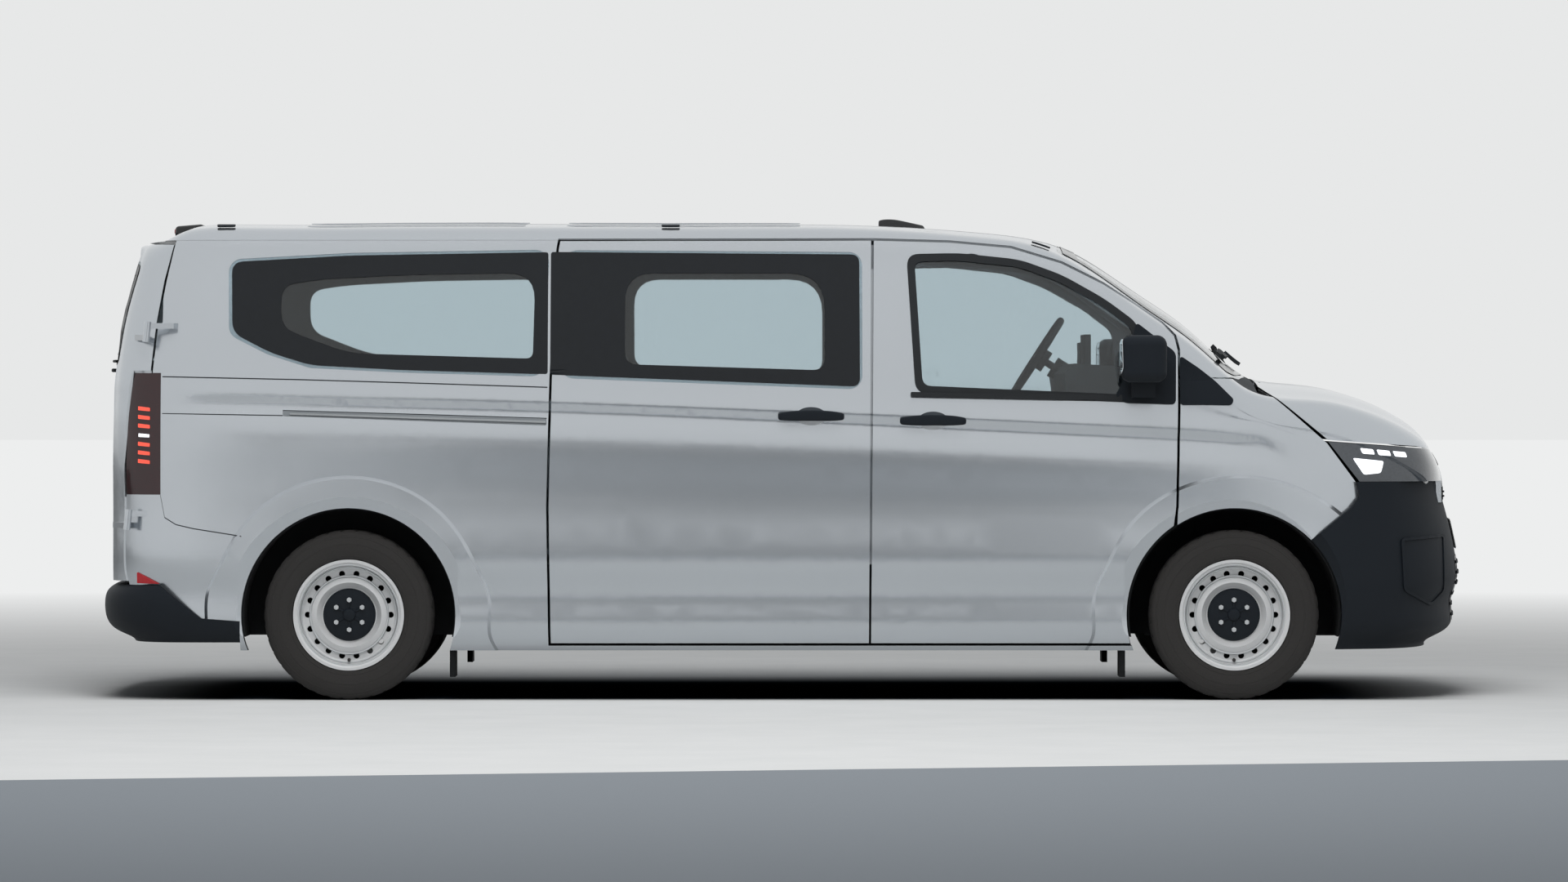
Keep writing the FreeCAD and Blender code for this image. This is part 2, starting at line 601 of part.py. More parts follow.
# Bumpers: horizontal bands, each a plan curve with its wall, drawn from one height to the next.
FRONT_BUMPER_LEVEL_SHARES = [
    (0.1053, 0.4762, 0.945), (0.1268, 0.4850, 0.965), (0.1521, 0.4962, 0.985), (0.1850, 0.4962, 0.998),
    (0.2311, 0.4995, 1.004), (0.3026, 0.4991, 1.004), (0.3684, 0.4940, 1.002), (0.4211, 0.4890, 1.0),
    (BUMPER_TOP_SHARE, 0.4876, 1.0)]
FRONT_BUMPER_PLAN_SHARES = [
    (0, 1.014), (0.126, 1.006), (0.277, 0.988), (0.429, 0.955), (0.58, 0.908), (0.717, 0.828),
    (0.823, 0.719), (0.906, 0.569), (0.959, 0.379), (0.986, 0.19), (1, 0)]
REAR_BUMPER_LEVEL_SHARES = [
    (0.1200, -0.4780, 0.97), (0.1321, -0.4839, 0.985), (0.1521, -0.4963, 1.0), (0.1721, -0.5, 1.008),
    (0.2163, -0.5, 1.008), (0.2385, -0.4920, 1.0)]
REAR_BUMPER_PLAN_SHARES = [
    (0, 1.0), (0.2, 1.003), (0.45, 1.0), (0.62, 0.985), (0.76, 0.94), (0.87, 0.86), (0.94, 0.72),
    (0.975, 0.5), (0.993, 0.25), (1, 0)]


def bumper_band(level, reach, spread, start, plan_shares):
    """One closed horizontal wire: the outer curve, the inner one and the two short ends."""
    half = [Vector(start + (reach - start) * part, -across(wide) * spread, level) for part, wide in plan_shares]
    ring = half + [Vector(p.x, -p.y, p.z) for p in reversed(half[:-1])]
    outer = Part.BSplineCurve()
    outer.interpolate(ring)
    moved = []
    for point in ring:
        way = outer.tangent(outer.parameter(point))[0]
        inward = Vector(-way.y, way.x, 0) if start < reach else Vector(way.y, -way.x, 0)
        moved.append(point + inward * size("bumper_wall"))
    inner = Part.BSplineCurve()
    inner.interpolate(moved)
    ends = [Part.makeLine(ring[-1], moved[-1]), Part.makeLine(moved[0], ring[0])]
    return Part.Wire([outer.toShape(), ends[0], inner.toShape(), ends[1]])


def bumper(levels, start, plan_shares):
    bands = [bumper_band(up(z), along(reach), spread, start, plan_shares) for z, reach, spread in levels]
    return Part.makeLoft(bands, True, False)


front_start = FRONT_AXLE + ARCH * 0.68
front_bumper = bumper(FRONT_BUMPER_LEVEL_SHARES, front_start, FRONT_BUMPER_PLAN_SHARES)
rear_start = along(-0.3934)
rear_bumper = bumper(REAR_BUMPER_LEVEL_SHARES, rear_start, REAR_BUMPER_PLAN_SHARES)

fender_space = side_prism(grown(outline(FENDER_SHARES), JOINT))
front_bumper = front_bumper.cut(fender_space).cut(mirrored(fender_space)).cut(ARCHES).cut(mirrored(ARCHES))
front_bumper = front_bumper.cut(box(along(0.42), LENGTH, -LAMP_SPLIT, LAMP_SPLIT, up(GRILLE_BASE_SHARE) - JOINT, HEIGHT))
panel_space = side_prism(grown(outline(SIDE_PANEL_SHARES), JOINT))
rear_bumper = rear_bumper.cut(panel_space).cut(mirrored(panel_space)).cut(ARCHES).cut(mirrored(ARCHES))


def block(shares):
    """A box from shares of length, half width and height."""
    x0, x1, y0, y1, z0, z1 = shares
    return box(along(x0), along(x1), across(y0), across(y1), up(z0), up(z1))


def pair(shape):
    return Part.makeCompound([shape, mirrored(shape)])


# Floor plate with its sills, inside the body sides and clear of the doors' inner faces.
FLOOR_TOP = size("floor_top")
FLOOR_BASE = FLOOR_TOP - size("floor_plate")
BULKHEAD = size("bulkhead_place")
inside = skin_solid(WALL + SEAT)
door_clear = skin_solid(size("sill_inset"))
sill_inner = skin_solid(size("sill_inset") + size("sill_width"))
DOOR_REAR = along(-0.174)
FLOOR_REAR = along(-0.4634)
floor = inside.common(box(FLOOR_REAR, DOOR_REAR, -HALF_WIDTH, HALF_WIDTH, FLOOR_BASE, FLOOR_TOP))
floor = floor.fuse(door_clear.common(box(DOOR_REAR, BULKHEAD, -HALF_WIDTH, HALF_WIDTH, FLOOR_BASE, FLOOR_TOP)))
SILL_FRONT = along(0.2546)
SILL_REAR = along(-0.2350)
SILL_BASE = size("sill_bottom")
SILL_STEP = SILL_BASE + size("sill_lip")
LIP_HALF = HALF_WIDTH - size("lip_inset")
lip = inside.cut(sill_inner).common(box(SILL_REAR, SILL_FRONT, -LIP_HALF, LIP_HALF, SILL_BASE, SILL_STEP))
web = door_clear.cut(sill_inner).common(box(SILL_REAR, SILL_FRONT, -HALF_WIDTH, HALF_WIDTH, SILL_STEP, FLOOR_BASE))
floor = floor.fuse(lip).fuse(web)
LINER_OUTER = ARCH - SEAT
for axle, inner in ((FRONT_AXLE, size("front_liner_inner")), (REAR_AXLE, size("rear_liner_inner"))):
    house = axle_drum(axle, inner - size("liner_wall") - SEAT, 2 * HALF_WIDTH, ARCH)
    floor = floor.cut(house).cut(mirrored(house))
floor = floor.removeSplitter()

# Door pillar between the two side doors, on both sides.
PILLAR_SHARES = (0.0549, 0.0696)
pillar = door_clear.cut(sill_inner).common(box(along(PILLAR_SHARES[0]), along(PILLAR_SHARES[1]), -HALF_WIDTH, -CENTRE_CLEAR, FLOOR_TOP + SEAT, up(0.971)))
pillar_head = inside.common(box(along(PILLAR_SHARES[0]), along(PILLAR_SHARES[1]), -across(0.81), -across(0.768), up(0.8895), HEIGHT))
pillar = pillar.fuse(pillar_head)

# Wheelhouse liners: a round shell and an inner wall above each wheel, slotted for the beam or tube that passes.
def liner(axle, inner, slot_half, slot_top):
    wall = size("liner_wall")
    shell = axle_drum(axle, inner - wall, HALF_WIDTH - size("liner_edge"), LINER_OUTER)
    hollow = axle_drum(axle, inner, 2 * HALF_WIDTH, LINER_OUTER - wall)
    above = box(axle - ARCH, axle + ARCH, -HALF_WIDTH, 0, up(0.1316), HEIGHT)
    slot = box(axle - slot_half, axle + slot_half, -HALF_WIDTH, 0, 0, slot_top)
    return shell.common(BELOW_FLANGE).cut(hollow).cut(slot).common(above)


TUBE_CLEAR = size("axle_tube") + GAP
liners = [
    liner(FRONT_AXLE, size("front_liner_inner"), size("beam_slot"), size("beam_clear")),
    liner(REAR_AXLE, size("rear_liner_inner"), TUBE_CLEAR, AXLE_Z + TUBE_CLEAR)]

# Bulkhead, cowl tray and the brackets that carry the front doors and the bonnet.
PLATE = size("bulkhead_plate")
TRAY_TOP = up(0.6316)
bulkhead = box(BULKHEAD, BULKHEAD + PLATE, -across(0.918), across(0.918), up(0.3869), TRAY_TOP)
bulkhead = bulkhead.fuse(box(BULKHEAD, BULKHEAD + PLATE, -size("front_liner_inner") + 2 * size("liner_wall"), size("front_liner_inner") - 2 * size("liner_wall"), FLOOR_BASE, TRAY_TOP))
tray = box(BULKHEAD, COWL_FRONT + PLATE / 2, -across(0.876), across(0.876), TRAY_TOP - PLATE, TRAY_TOP)
cowl_lip = skin_solid(size("fender_wall") / 2).common(box(COWL_FRONT - PLATE, COWL_FRONT, -across(0.876), across(0.876), TRAY_TOP - PLATE, HEIGHT))
cowl = cowl.fuse(cowl_lip).fuse(tray).fuse(bulkhead)

HINGE_X = along(0.2848) - size("hinge_setback")
HINGE_Y = -(HALF_WIDTH - size("hinge_depth") - size("hinge_trim"))
HINGE_LEVEL_SHARES = (0.4132, 0.5184)
HINGE_MIDDLE = up(0.4737)
door_tilt = math.radians(size("hinge_tilt"))
DOOR_AXIS = Vector(0, math.sin(door_tilt), math.cos(door_tilt))
PIN = size("hinge_pin")
ARM = size("hinge_arm")
HINGE_HALF = size("hinge_height") / 2
REACH = size("hinge_reach")
for level in HINGE_LEVEL_SHARES:
    foot = Vector(HINGE_X, HINGE_Y, HINGE_MIDDLE) + DOOR_AXIS * (up(level) - HINGE_MIDDLE)
    arm = box(foot.x - ARM / 2, foot.x + ARM / 2, foot.y, foot.y + REACH, foot.z - HINGE_HALF, foot.z + HINGE_HALF)
    arm = arm.fuse(cylinder(ARM / 2, 2 * HINGE_HALF, foot - Vector(0, 0, HINGE_HALF), Vector(0, 0, 1)))
    arm = arm.fuse(box(foot.x - ARM / 2, BULKHEAD + PLATE / 2, foot.y + REACH - ARM, foot.y + REACH, foot.z - HINGE_HALF, foot.z + HINGE_HALF))
    pin_half = 2 * HINGE_HALF
    arm = arm.fuse(cylinder(PIN, 2 * pin_half, foot - DOOR_AXIS * pin_half, DOOR_AXIS))
    cowl = cowl.fuse(arm).fuse(mirrored(arm))
    notch = box(foot.x - ARM, foot.x + OVER * 2, -HALF_WIDTH + size("door_flange") + size("hinge_trim"), foot.y + REACH, foot.z - HINGE_HALF - PIN, foot.z + HINGE_HALF + PIN)
    bore = cylinder(PIN + SEAT, 2 * pin_half + 2 * PIN, foot - DOOR_AXIS * (pin_half + PIN), DOOR_AXIS)
    front_door = front_door.cut(notch).cut(bore)

# Bonnet hinges: a post under each rear corner of the bonnet with a cross pin in two lugs.
BONNET_AXIS_X = size("bonnet_edge") + size("bonnet_pin_ahead")
BONNET_AXIS_Z = up(0.6579)
BONNET_HINGE_Y = across(0.3204)
BONNET_PIN = size("bonnet_pin")
POST = size("bonnet_post")
post = box(BONNET_AXIS_X - POST, BONNET_AXIS_X + POST, BONNET_HINGE_Y - POST, BONNET_HINGE_Y + POST, TRAY_TOP - PLATE, BONNET_AXIS_Z)
post = post.fuse(cylinder(POST, 2 * POST, Vector(BONNET_AXIS_X, BONNET_HINGE_Y - POST, BONNET_AXIS_Z), Vector(0, 1, 0)))
post = post.fuse(box(COWL_FRONT - PLATE, BONNET_AXIS_X + POST, BONNET_HINGE_Y - POST, BONNET_HINGE_Y + POST, TRAY_TOP - PLATE, TRAY_TOP))
post = post.fuse(cylinder(BONNET_PIN, 6 * POST, Vector(BONNET_AXIS_X, BONNET_HINGE_Y - 3 * POST, BONNET_AXIS_Z), Vector(0, 1, 0)))
cowl = cowl.fuse(post).fuse(mirrored(post)).removeSplitter()
lug = box(BONNET_AXIS_X - 2 * POST, BONNET_AXIS_X + 2 * POST, BONNET_HINGE_Y - 4 * POST, BONNET_HINGE_Y + 4 * POST, BONNET_AXIS_Z - 2 * POST, BONNET_AXIS_Z + POST)
slot = box(COWL_FRONT, BONNET_AXIS_X + 2 * POST, BONNET_HINGE_Y - 1.5 * POST, BONNET_HINGE_Y + 1.5 * POST, 0, BONNET_AXIS_Z + POST + JOINT)
bonnet_bore = cylinder(BONNET_PIN + SEAT, 7 * POST, Vector(BONNET_AXIS_X, BONNET_HINGE_Y - 3.5 * POST, BONNET_AXIS_Z), Vector(0, 1, 0))
for turn in (lambda shape: shape, mirrored):
    bonnet = bonnet.fuse(turn(lug)).cut(turn(slot)).cut(turn(bonnet_bore))

# Rear door hinges: a barrel on the door below and one with a pin on the body above, at two heights.
LOW_HINGE = Vector(along(-0.4744), -across(0.983), up(0.3758))
HIGH_HINGE = Vector(along(-0.4606), -across(0.983), up(0.7658))
REAR_AXIS = (HIGH_HINGE - LOW_HINGE).normalize()
BARREL = size("rear_hinge_barrel")
BARREL_LENGTH = size("rear_hinge_height") / 2
REAR_PIN = size("rear_hinge_pin")


def leaf(points, foot, rise):
    """An upright plate of a hinge from a plan outline measured from its axis in barrel radii."""
    ring = [foot + Vector(x * BARREL, y * BARREL, 0) for x, y in points]
    return Part.Face(Part.makePolygon(ring + ring[:1])).extrude(Vector(0, 0, rise))


BODY_LEAF_SHARES = ([(-0.6, 0.8), (1.0, 0.0), (6.5, 1.5), (6.5, 4.2), (4.0, 4.2)], [(-0.6, 0.8), (1.0, 0.0), (7.5, 0.9), (8.5, 3.9), (6.2, 4.0), (4.4, 1.9)])
DOOR_LEAF_SHARES = ([(-1.0, 0.0), (0.4, 0.8), (-2.0, 8.0), (-4.9, 8.0)], [(-1.0, 0.0), (0.6, 0.8), (-1.0, 7.0), (-4.0, 7.0)])
side_leaves = []
door_leaves = []
for foot, body_points, door_points in zip((LOW_HINGE, HIGH_HINGE), BODY_LEAF_SHARES, DOOR_LEAF_SHARES):
    drop = REAR_AXIS * (BARREL_LENGTH + SEAT)
    upper = cylinder(BARREL, BARREL_LENGTH, foot, REAR_AXIS)
    pin = cylinder(REAR_PIN, 2 * BARREL_LENGTH, foot - REAR_AXIS * BARREL_LENGTH, REAR_AXIS)
    plate = leaf(body_points, foot + Vector(0, 0, 2 * REAR_PIN), BARREL_LENGTH - 3 * REAR_PIN)
    side_leaves.append(upper.fuse(pin).fuse(plate))
    lower = cylinder(BARREL, BARREL_LENGTH, foot - drop, REAR_AXIS)
    plate = leaf(door_points, foot - Vector(0, 0, BARREL_LENGTH - REAR_PIN), BARREL_LENGTH - 3 * REAR_PIN)
    bore = cylinder(REAR_PIN + SEAT, 3 * BARREL_LENGTH, foot - REAR_AXIS * 2 * BARREL_LENGTH, REAR_AXIS)
    rear_right = rear_right.fuse(lower.fuse(plate)).cut(bore)
lamp_band = box(-LENGTH, 0, -LENGTH, 0, up(LAMP_BASE_SHARE) - GAP, up(LAMP_TOP_SHARE) + GAP)
lamp_sweep = cylinder(size("rear_door_sweep"), 2 * HEIGHT, LOW_HINGE - REAR_AXIS * HEIGHT, REAR_AXIS)
rear_right = rear_right.cut(lamp_sweep.common(lamp_band))
for piece in side_leaves:
    right_side = right_side.fuse(piece)
    left_side = left_side.fuse(mirrored(piece))
right_side = right_side.fuse(pillar)
left_side = left_side.fuse(mirrored(pillar))

# Front subframe: two rails with posts to the floor, a cross member and the arms that carry the kingpins.
subframe = block((0.3114, 0.3388, -0.6387, 0.6387, 0.1263, 0.1737))
for shares in ((0.2656, 0.4579, 0.3992, 0.4691, 0.1263, 0.1737), (0.2656, 0.2802, 0.3992, 0.4691, 0.1263, 0.263), (0.4469, 0.4579, -0.4691, 0.4691, 0.1737, 0.2211)):
    piece = block(shares)
    subframe = subframe.fuse(piece).fuse(mirrored(piece))
STEER_Y = size("steer_axis_y")
BOSS = size("knuckle_boss_radius")
BOSS_BASE = AXLE_Z - size("knuckle_boss_height") / 2
KING_PIN = size("pin_radius")
for side_way in (-1, 1):
    arm = block((0.3187, 0.3333, 0.5589, 0.7745, 0.1079, 0.1237))
    arm = arm.fuse(block((0.3187, 0.3333, 0.5589, 0.6387, 0.1079, 0.1737)))
    pin = cylinder(KING_PIN, size("knuckle_boss_height"), Vector(FRONT_AXLE, STEER_Y, BOSS_BASE - JOINT - KING_PIN), Vector(0, 0, 1))
    arm = arm.fuse(pin)
    subframe = subframe.fuse(arm if side_way > 0 else mirrored(arm))
subframe = subframe.removeSplitter()

# Steered knuckles and the rear axle: a stub through each wheel's hub with a round plate behind it.
STUB = size("hub_bore") - SEAT
PLATE_INNER = size("stub_plate_inner")
PLATE_OUTER = PLATE_INNER + size("stub_plate")


def stub(axle):
    shape = axle_drum(axle, PLATE_INNER, WHEEL_Y + size("stub_reach"), STUB)
    return shape.fuse(axle_drum(axle, PLATE_INNER, PLATE_OUTER, size("stub_plate_radius")))


boss = cylinder(BOSS, size("knuckle_boss_height"), Vector(FRONT_AXLE, -STEER_Y, BOSS_BASE), Vector(0, 0, 1))
boss_bore = cylinder(KING_PIN + SEAT, size("knuckle_boss_height") + 2 * BOSS, Vector(FRONT_AXLE, -STEER_Y, BOSS_BASE - BOSS), Vector(0, 0, 1))
knuckle = boss.fuse(stub(FRONT_AXLE)).cut(boss_bore)
rear_axle = axle_drum(REAR_AXLE, -PLATE_OUTER, PLATE_OUTER, size("axle_tube"))
for piece in (stub(REAR_AXLE), block((-0.315, -0.2198, -0.499, -0.4291, 0.1632, 0.1895)), block((-0.2308, -0.2161, -0.499, -0.4291, 0.1632, 0.263)), cylinder(2 * size("axle_tube"), FLOOR_BASE - SEAT - AXLE_Z, Vector(REAR_AXLE, -across(0.56), AXLE_Z), Vector(0, 0, 1))):
    rear_axle = rear_axle.fuse(piece).fuse(mirrored(piece))
rear_axle = rear_axle.removeSplitter()

# Engine, fuel tank, exhaust and mud flaps as plain shapes at their real places.
engine = block((0.348, 0.4396, -0.3792, 0.3792, 0.1742, 0.5263))
tank = block((-0.1282, 0.0549, -0.6188, -0.0599, 0.1368, 0.263))
tank = tank.makeFillet(up(0.02), [edge for edge in tank.Edges if edge.BoundBox.XLength > WALL])
pipe_way = Vector(1, 0, 0)
exhaust = cylinder(size("exhaust_pipe"), along(0.72), Vector(along(-0.4689), across(0.25), up(0.2263)), pipe_way)
exhaust = exhaust.fuse(block((-0.1648, -0.0458, 0.1198, 0.3892, 0.1579, 0.2526)))
for shares in ((0.2289, 0.2363, 0.2395, 0.2595, 0.2263, 0.263), (-0.1136, -0.1062, 0.2395, 0.2595, 0.2263, 0.263), (-0.4542, -0.4469, 0.2395, 0.2595, 0.2263, 0.263)):
    exhaust = exhaust.fuse(block(shares))
FLAP_SHARES = ((-0.2421, -0.2381, -0.9232, -0.7385, 0.0474, 0.1030), (0.243, 0.2471, -0.9232, -0.7385, 0.0474, 0.1030))
flaps = [block(shares) for shares in FLAP_SHARES]

# Dashboard with its screens, and the steering wheel on a short column stub.
DASH_SHARES = [(0.2902, 0.5), (0.2902, 0.6232), (0.2857, 0.6579), (0.2564, 0.6921), (0.2106, 0.7), (0.2033, 0.6789), (0.207, 0.6053), (0.2289, 0.5263), (0.2381, 0.5)]
CABIN_HALF = across(0.878)
dashboard = middle_prism(outline(DASH_SHARES)).common(box(0, LENGTH, -CABIN_HALF, CABIN_HALF, 0, HEIGHT))
for shares in ((0.2225, 0.228, -0.1497, 0.1697, 0.6842, 0.7632), (0.2225, 0.228, 0.2495, 0.5489, 0.6842, 0.7474)):
    dashboard = dashboard.fuse(block(shares))
RAKE = math.radians(size("steering_rake"))
COLUMN_WAY = Vector(math.cos(RAKE), 0, -math.sin(RAKE))
DRIVER_Y = across(0.3992)
STEER_CENTRE = Vector(along(0.1916), DRIVER_Y, up(0.7174))
GRIP = size("steering_grip")
RING = size("steering_wheel_radius") - GRIP
steering = Part.makeTorus(RING, GRIP, STEER_CENTRE, COLUMN_WAY)
hub_radius = 3 * GRIP
hub = cylinder(hub_radius, 3 * GRIP, STEER_CENTRE, COLUMN_WAY)
hub_bore = cylinder(GRIP + SEAT, 3 * GRIP, STEER_CENTRE + COLUMN_WAY * GRIP, COLUMN_WAY)
across_way = Vector(0, 1, 0)
spokes = cylinder(GRIP * 0.7, 2 * RING, STEER_CENTRE - across_way * RING, across_way)
down_way = Vector(-math.sin(RAKE), 0, -math.cos(RAKE))
spokes = spokes.fuse(cylinder(GRIP * 0.7, RING, STEER_CENTRE, down_way))
steering = steering.fuse(spokes).fuse(hub).cut(hub_bore)
column = cylinder(GRIP, 11 * GRIP, STEER_CENTRE + COLUMN_WAY * (GRIP + JOINT), COLUMN_WAY)
column = column.fuse(cylinder(3 * GRIP, 7 * GRIP, STEER_CENTRE + COLUMN_WAY * 5 * GRIP, COLUMN_WAY))
dashboard = dashboard.fuse(column).removeSplitter()


# Seats: padded cushions and backs over plain stands.
def seat_parts(cushion, back, head, stand, head_places):
    """Cushion and stand boxes, a raked back drawn in side view and a head pad at each given place."""
    parts = [block(cushion), block(stand)]
    edge_round = up(0.0132)
    parts[0] = parts[0].makeFillet(edge_round, parts[0].Edges)
    wide = [across(cushion[2]), across(cushion[3])]
    ring = [Vector(x, wide[0], z) for x, z in outline(back)]
    panel = Part.Face(Part.makePolygon(ring + ring[:1])).extrude(Vector(0, wide[1] - wide[0], 0))
    parts.append(panel.makeFillet(edge_round, panel.Edges))
    half_head = across(0.125)
    for place in head_places:
        pad = box(along(head[0]), along(head[1]), across(place) - half_head, across(place) + half_head, up(head[2]), up(head[3]))
        parts.append(pad.makeFillet(edge_round, pad.Edges))
    return parts


FRONT_BACK_SHARES = [(0.1026, 0.4763), (0.0788, 0.4763), (0.0623, 0.7526), (0.0824, 0.7526)]
FRONT_HEAD_SHARES = (0.0632, 0.0806, 0.7532, 0.8368)
front_seats = seat_parts((0.1044, 0.1795, 0.1497, 0.6487, 0.4158, 0.4842), FRONT_BACK_SHARES, FRONT_HEAD_SHARES, (0.1099, 0.1703, 0.1996, 0.5988, 0.2818, 0.4153), (0.3992,))
front_seats += seat_parts((0.1044, 0.1795, -0.7984, 0.0599, 0.4158, 0.4842), FRONT_BACK_SHARES, FRONT_HEAD_SHARES, (0.1099, 0.1703, -0.7485, 0, 0.2818, 0.4153), (-0.58, -0.16))
BENCH_BACK_SHARES = [(-0.1081, 0.4658), (-0.1319, 0.4658), (-0.1392, 0.7316), (-0.119, 0.7316)]
BENCH_HEAD_SHARES = (-0.1383, -0.1209, 0.7321, 0.8132)
rear_bench = seat_parts((-0.1062, -0.0238, -0.7784, 0.7784, 0.4, 0.4632), BENCH_BACK_SHARES, BENCH_HEAD_SHARES, (-0.1026, -0.0293, -0.7385, 0.7385, 0.2818, 0.3995), (-0.52, 0, 0.52))

# Door mirrors on short arms.
MIRROR_HOUSING_SHARES = (0.2425, 0.2750, -1.2275, -1.0279, 0.6605, 0.7579)
MIRROR_ARM_SHARES = (0.2509, 0.2674, -1.1178, -0.8982, 0.6289, 0.6642)
housing = block(MIRROR_HOUSING_SHARES)
housing = housing.makeFillet(up(0.0211), housing.Edges)
mirror_arm = block(MIRROR_ARM_SHARES).cut(skin_solid(-SEAT))
mirror_arm = max(mirror_arm.Solids, key=lambda solid: solid.Volume)
mirror = housing.fuse(mirror_arm)


# Wheels: tyre and 18-hole rim turned as bodies of revolution about the wheel's own axis.
def turned_body(label, profile, centre, flip):
    """A revolved body whose profile is given as radius and distance outward from the wheel's middle."""
    body = doc.addObject("PartDesign::Body", label)
    body.Label = label
    sketch = body.newObject("Sketcher::SketchObject", label + "_profile")
    sketch.AttachmentSupport = [(body.Origin.OriginFeatures[3], "")]
    sketch.MapMode = "FlatFace"
    for start, end in zip(profile, profile[1:] + profile[:1]):
        sketch.addGeometry(Part.LineSegment(Vector(start[0], start[1], 0), Vector(end[0], end[1], 0)), False)
    turned = body.newObject("PartDesign::Revolution", label + "_turned")
    turned.Profile = sketch
    turned.ReferenceAxis = (sketch, ["V_Axis"])
    body.Tip = turned
    spin = FreeCAD.Rotation(Vector(0, 0, 1), math.degrees(math.pi) if flip else 0)
    body.Placement = FreeCAD.Placement(centre, spin)
    nodes[label] = body
    return body


# Radius as shares of the rim flange radius, distance outward as shares of the rim's half width.
RIM_SHARES = [
    (0, 0.1837), (0.4932, 0.1837), (0.5845, 0.4286), (0.6849, 0.3673), (0.8219, 0.3469), (0.8767, 0.4082),
    (0.8767, -1.0), (1.0, -1.0), (1.0, -0.9184), (0.9269, -0.8571), (0.9269, 0.8571), (1.0, 0.9184),
    (1.0, 1.0), (0.9498, 1.0), (0.8950, 0.8980), (0.8676, 0.5714), (0.8219, 0.4898), (0.6849, 0.5102),
    (0.5845, 0.5918), (0.4932, 0.3265), (0, 0.3265)]
# Radius as shares of the tyre radius, distance outward as shares of half the tyre width.
TYRE_SHARES = [
    (0.6054, -0.7777), (0.6530, -0.8335), (0.6696, -0.9302), (0.7589, -1.0), (0.8631, -0.9767),
    (0.9464, -0.8930), (0.9851, -0.7628), (1.0, -0.5581), (1.0, 0.5581), (0.9851, 0.7628), (0.9464, 0.8930),
    (0.8631, 0.9767), (0.7589, 1.0), (0.6696, 0.9302), (0.6530, 0.8335), (0.6054, 0.7777)]
RIM_FLANGE = size("rim_flange_radius")
rim_profile = [(max(r * RIM_FLANGE, size("hub_bore")), y * size("rim_half_width")) for r, y in RIM_SHARES]
tyre_profile = [(r * size("tyre_radius"), y * size("tyre_width") / 2) for r, y in TYRE_SHARES]
for label, axle, way in (("front_right", FRONT_AXLE, -1), ("front_left", FRONT_AXLE, 1), ("rear_right", REAR_AXLE, -1), ("rear_left", REAR_AXLE, 1)):
    centre = Vector(axle, way * WHEEL_Y, AXLE_Z)
    turned_body("tyre_" + label, tyre_profile, centre, way < 0)
    rim = turned_body("rim_" + label, rim_profile, centre, way < 0)
    hole_sketch = rim.newObject("Sketcher::SketchObject", "rim_hole_" + label)
    hole_sketch.AttachmentSupport = [(rim.Origin.OriginFeatures[4], "")]
    hole_sketch.MapMode = "FlatFace"
    circle = Part.Circle(Vector(size("wheel_hole_circle"), 0, 0), Vector(0, 0, 1), size("wheel_hole_radius"))
    hole_sketch.addGeometry(circle, False)
    pocket = rim.newObject("PartDesign::Pocket", "rim_hole_cut_" + label)
    pocket.Profile = hole_sketch
    pocket.Type = 0
    pocket.Length = size("rim_half_width")
    pocket.Midplane = True
    pocket.setExpression("Length", "Sizes.rim_half_width * 2")
    rim.Tip = pocket
    doc.recompute()
    holes = rim.newObject("PartDesign::PolarPattern", "rim_holes_" + label)
    holes.Originals = [pocket]
    holes.Axis = (rim.Origin.OriginFeatures[1], [""])
    holes.Angle = math.degrees(2 * math.pi)
    rim.Tip = holes
    holes.setExpression("Occurrences", "Sizes.wheel_hole_count")
doc.recompute()

add("floor", floor)
add("roof", roof)
add("side_left", left_side)
add("side_right", right_side)
add("fenders", pair(fender))
add("cowl", cowl)
add("bumper_front", front_bumper)
add("bumper_rear", rear_bumper)
add("grille", grille)
add("headlamps", pair(headlamp))
add("tail_lamps", pair(tail_lamp))
add("windscreen", windscreen)
add("side_glass_fixed", Part.makeCompound([quarter_glass, mirrored(quarter_glass), mirrored(sliding_glass)]))
add("sliding_door", sliding_door)
add("sliding_door_glass", sliding_glass)
add("dashboard", dashboard)
add("seats_front", Part.makeCompound(front_seats))
add("seat_bench", Part.makeCompound(rear_bench))
add("engine", engine)
add("subframe", subframe)
add("axle_rear", rear_axle)
add("wheel_liners", Part.makeCompound([pair(piece) for piece in liners]))
add("mud_flaps", Part.makeCompound([pair(piece) for piece in flaps]))
add("fuel_tank", tank)
add("exhaust", exhaust)
add("bonnet", bonnet)
add("steering_wheel", steering)
for label, turn in (("right", lambda shape: shape), ("left", mirrored)):
    add("door_front_" + label, turn(front_door))
    add("glass_front_" + label, turn(front_glass))
    add("mirror_" + label, turn(mirror))
    add("door_rear_" + label, turn(rear_right))
    add("glass_rear_" + label, turn(rear_glass))
    add("knuckle_" + label, turn(knuckle))
doc.recompute()

for label, item in nodes.items():
    if "Invalid" in item.State or "Error" in item.State:
        raise RuntimeError(label + " did not recompute")
    if item.Shape.isNull() or not item.Shape.isValid():
        raise RuntimeError(label + " has no valid shape")
    item.Shape.exportStep("parts/" + label + ".step")
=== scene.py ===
import bpy
import math
from mathutils import Matrix, Vector


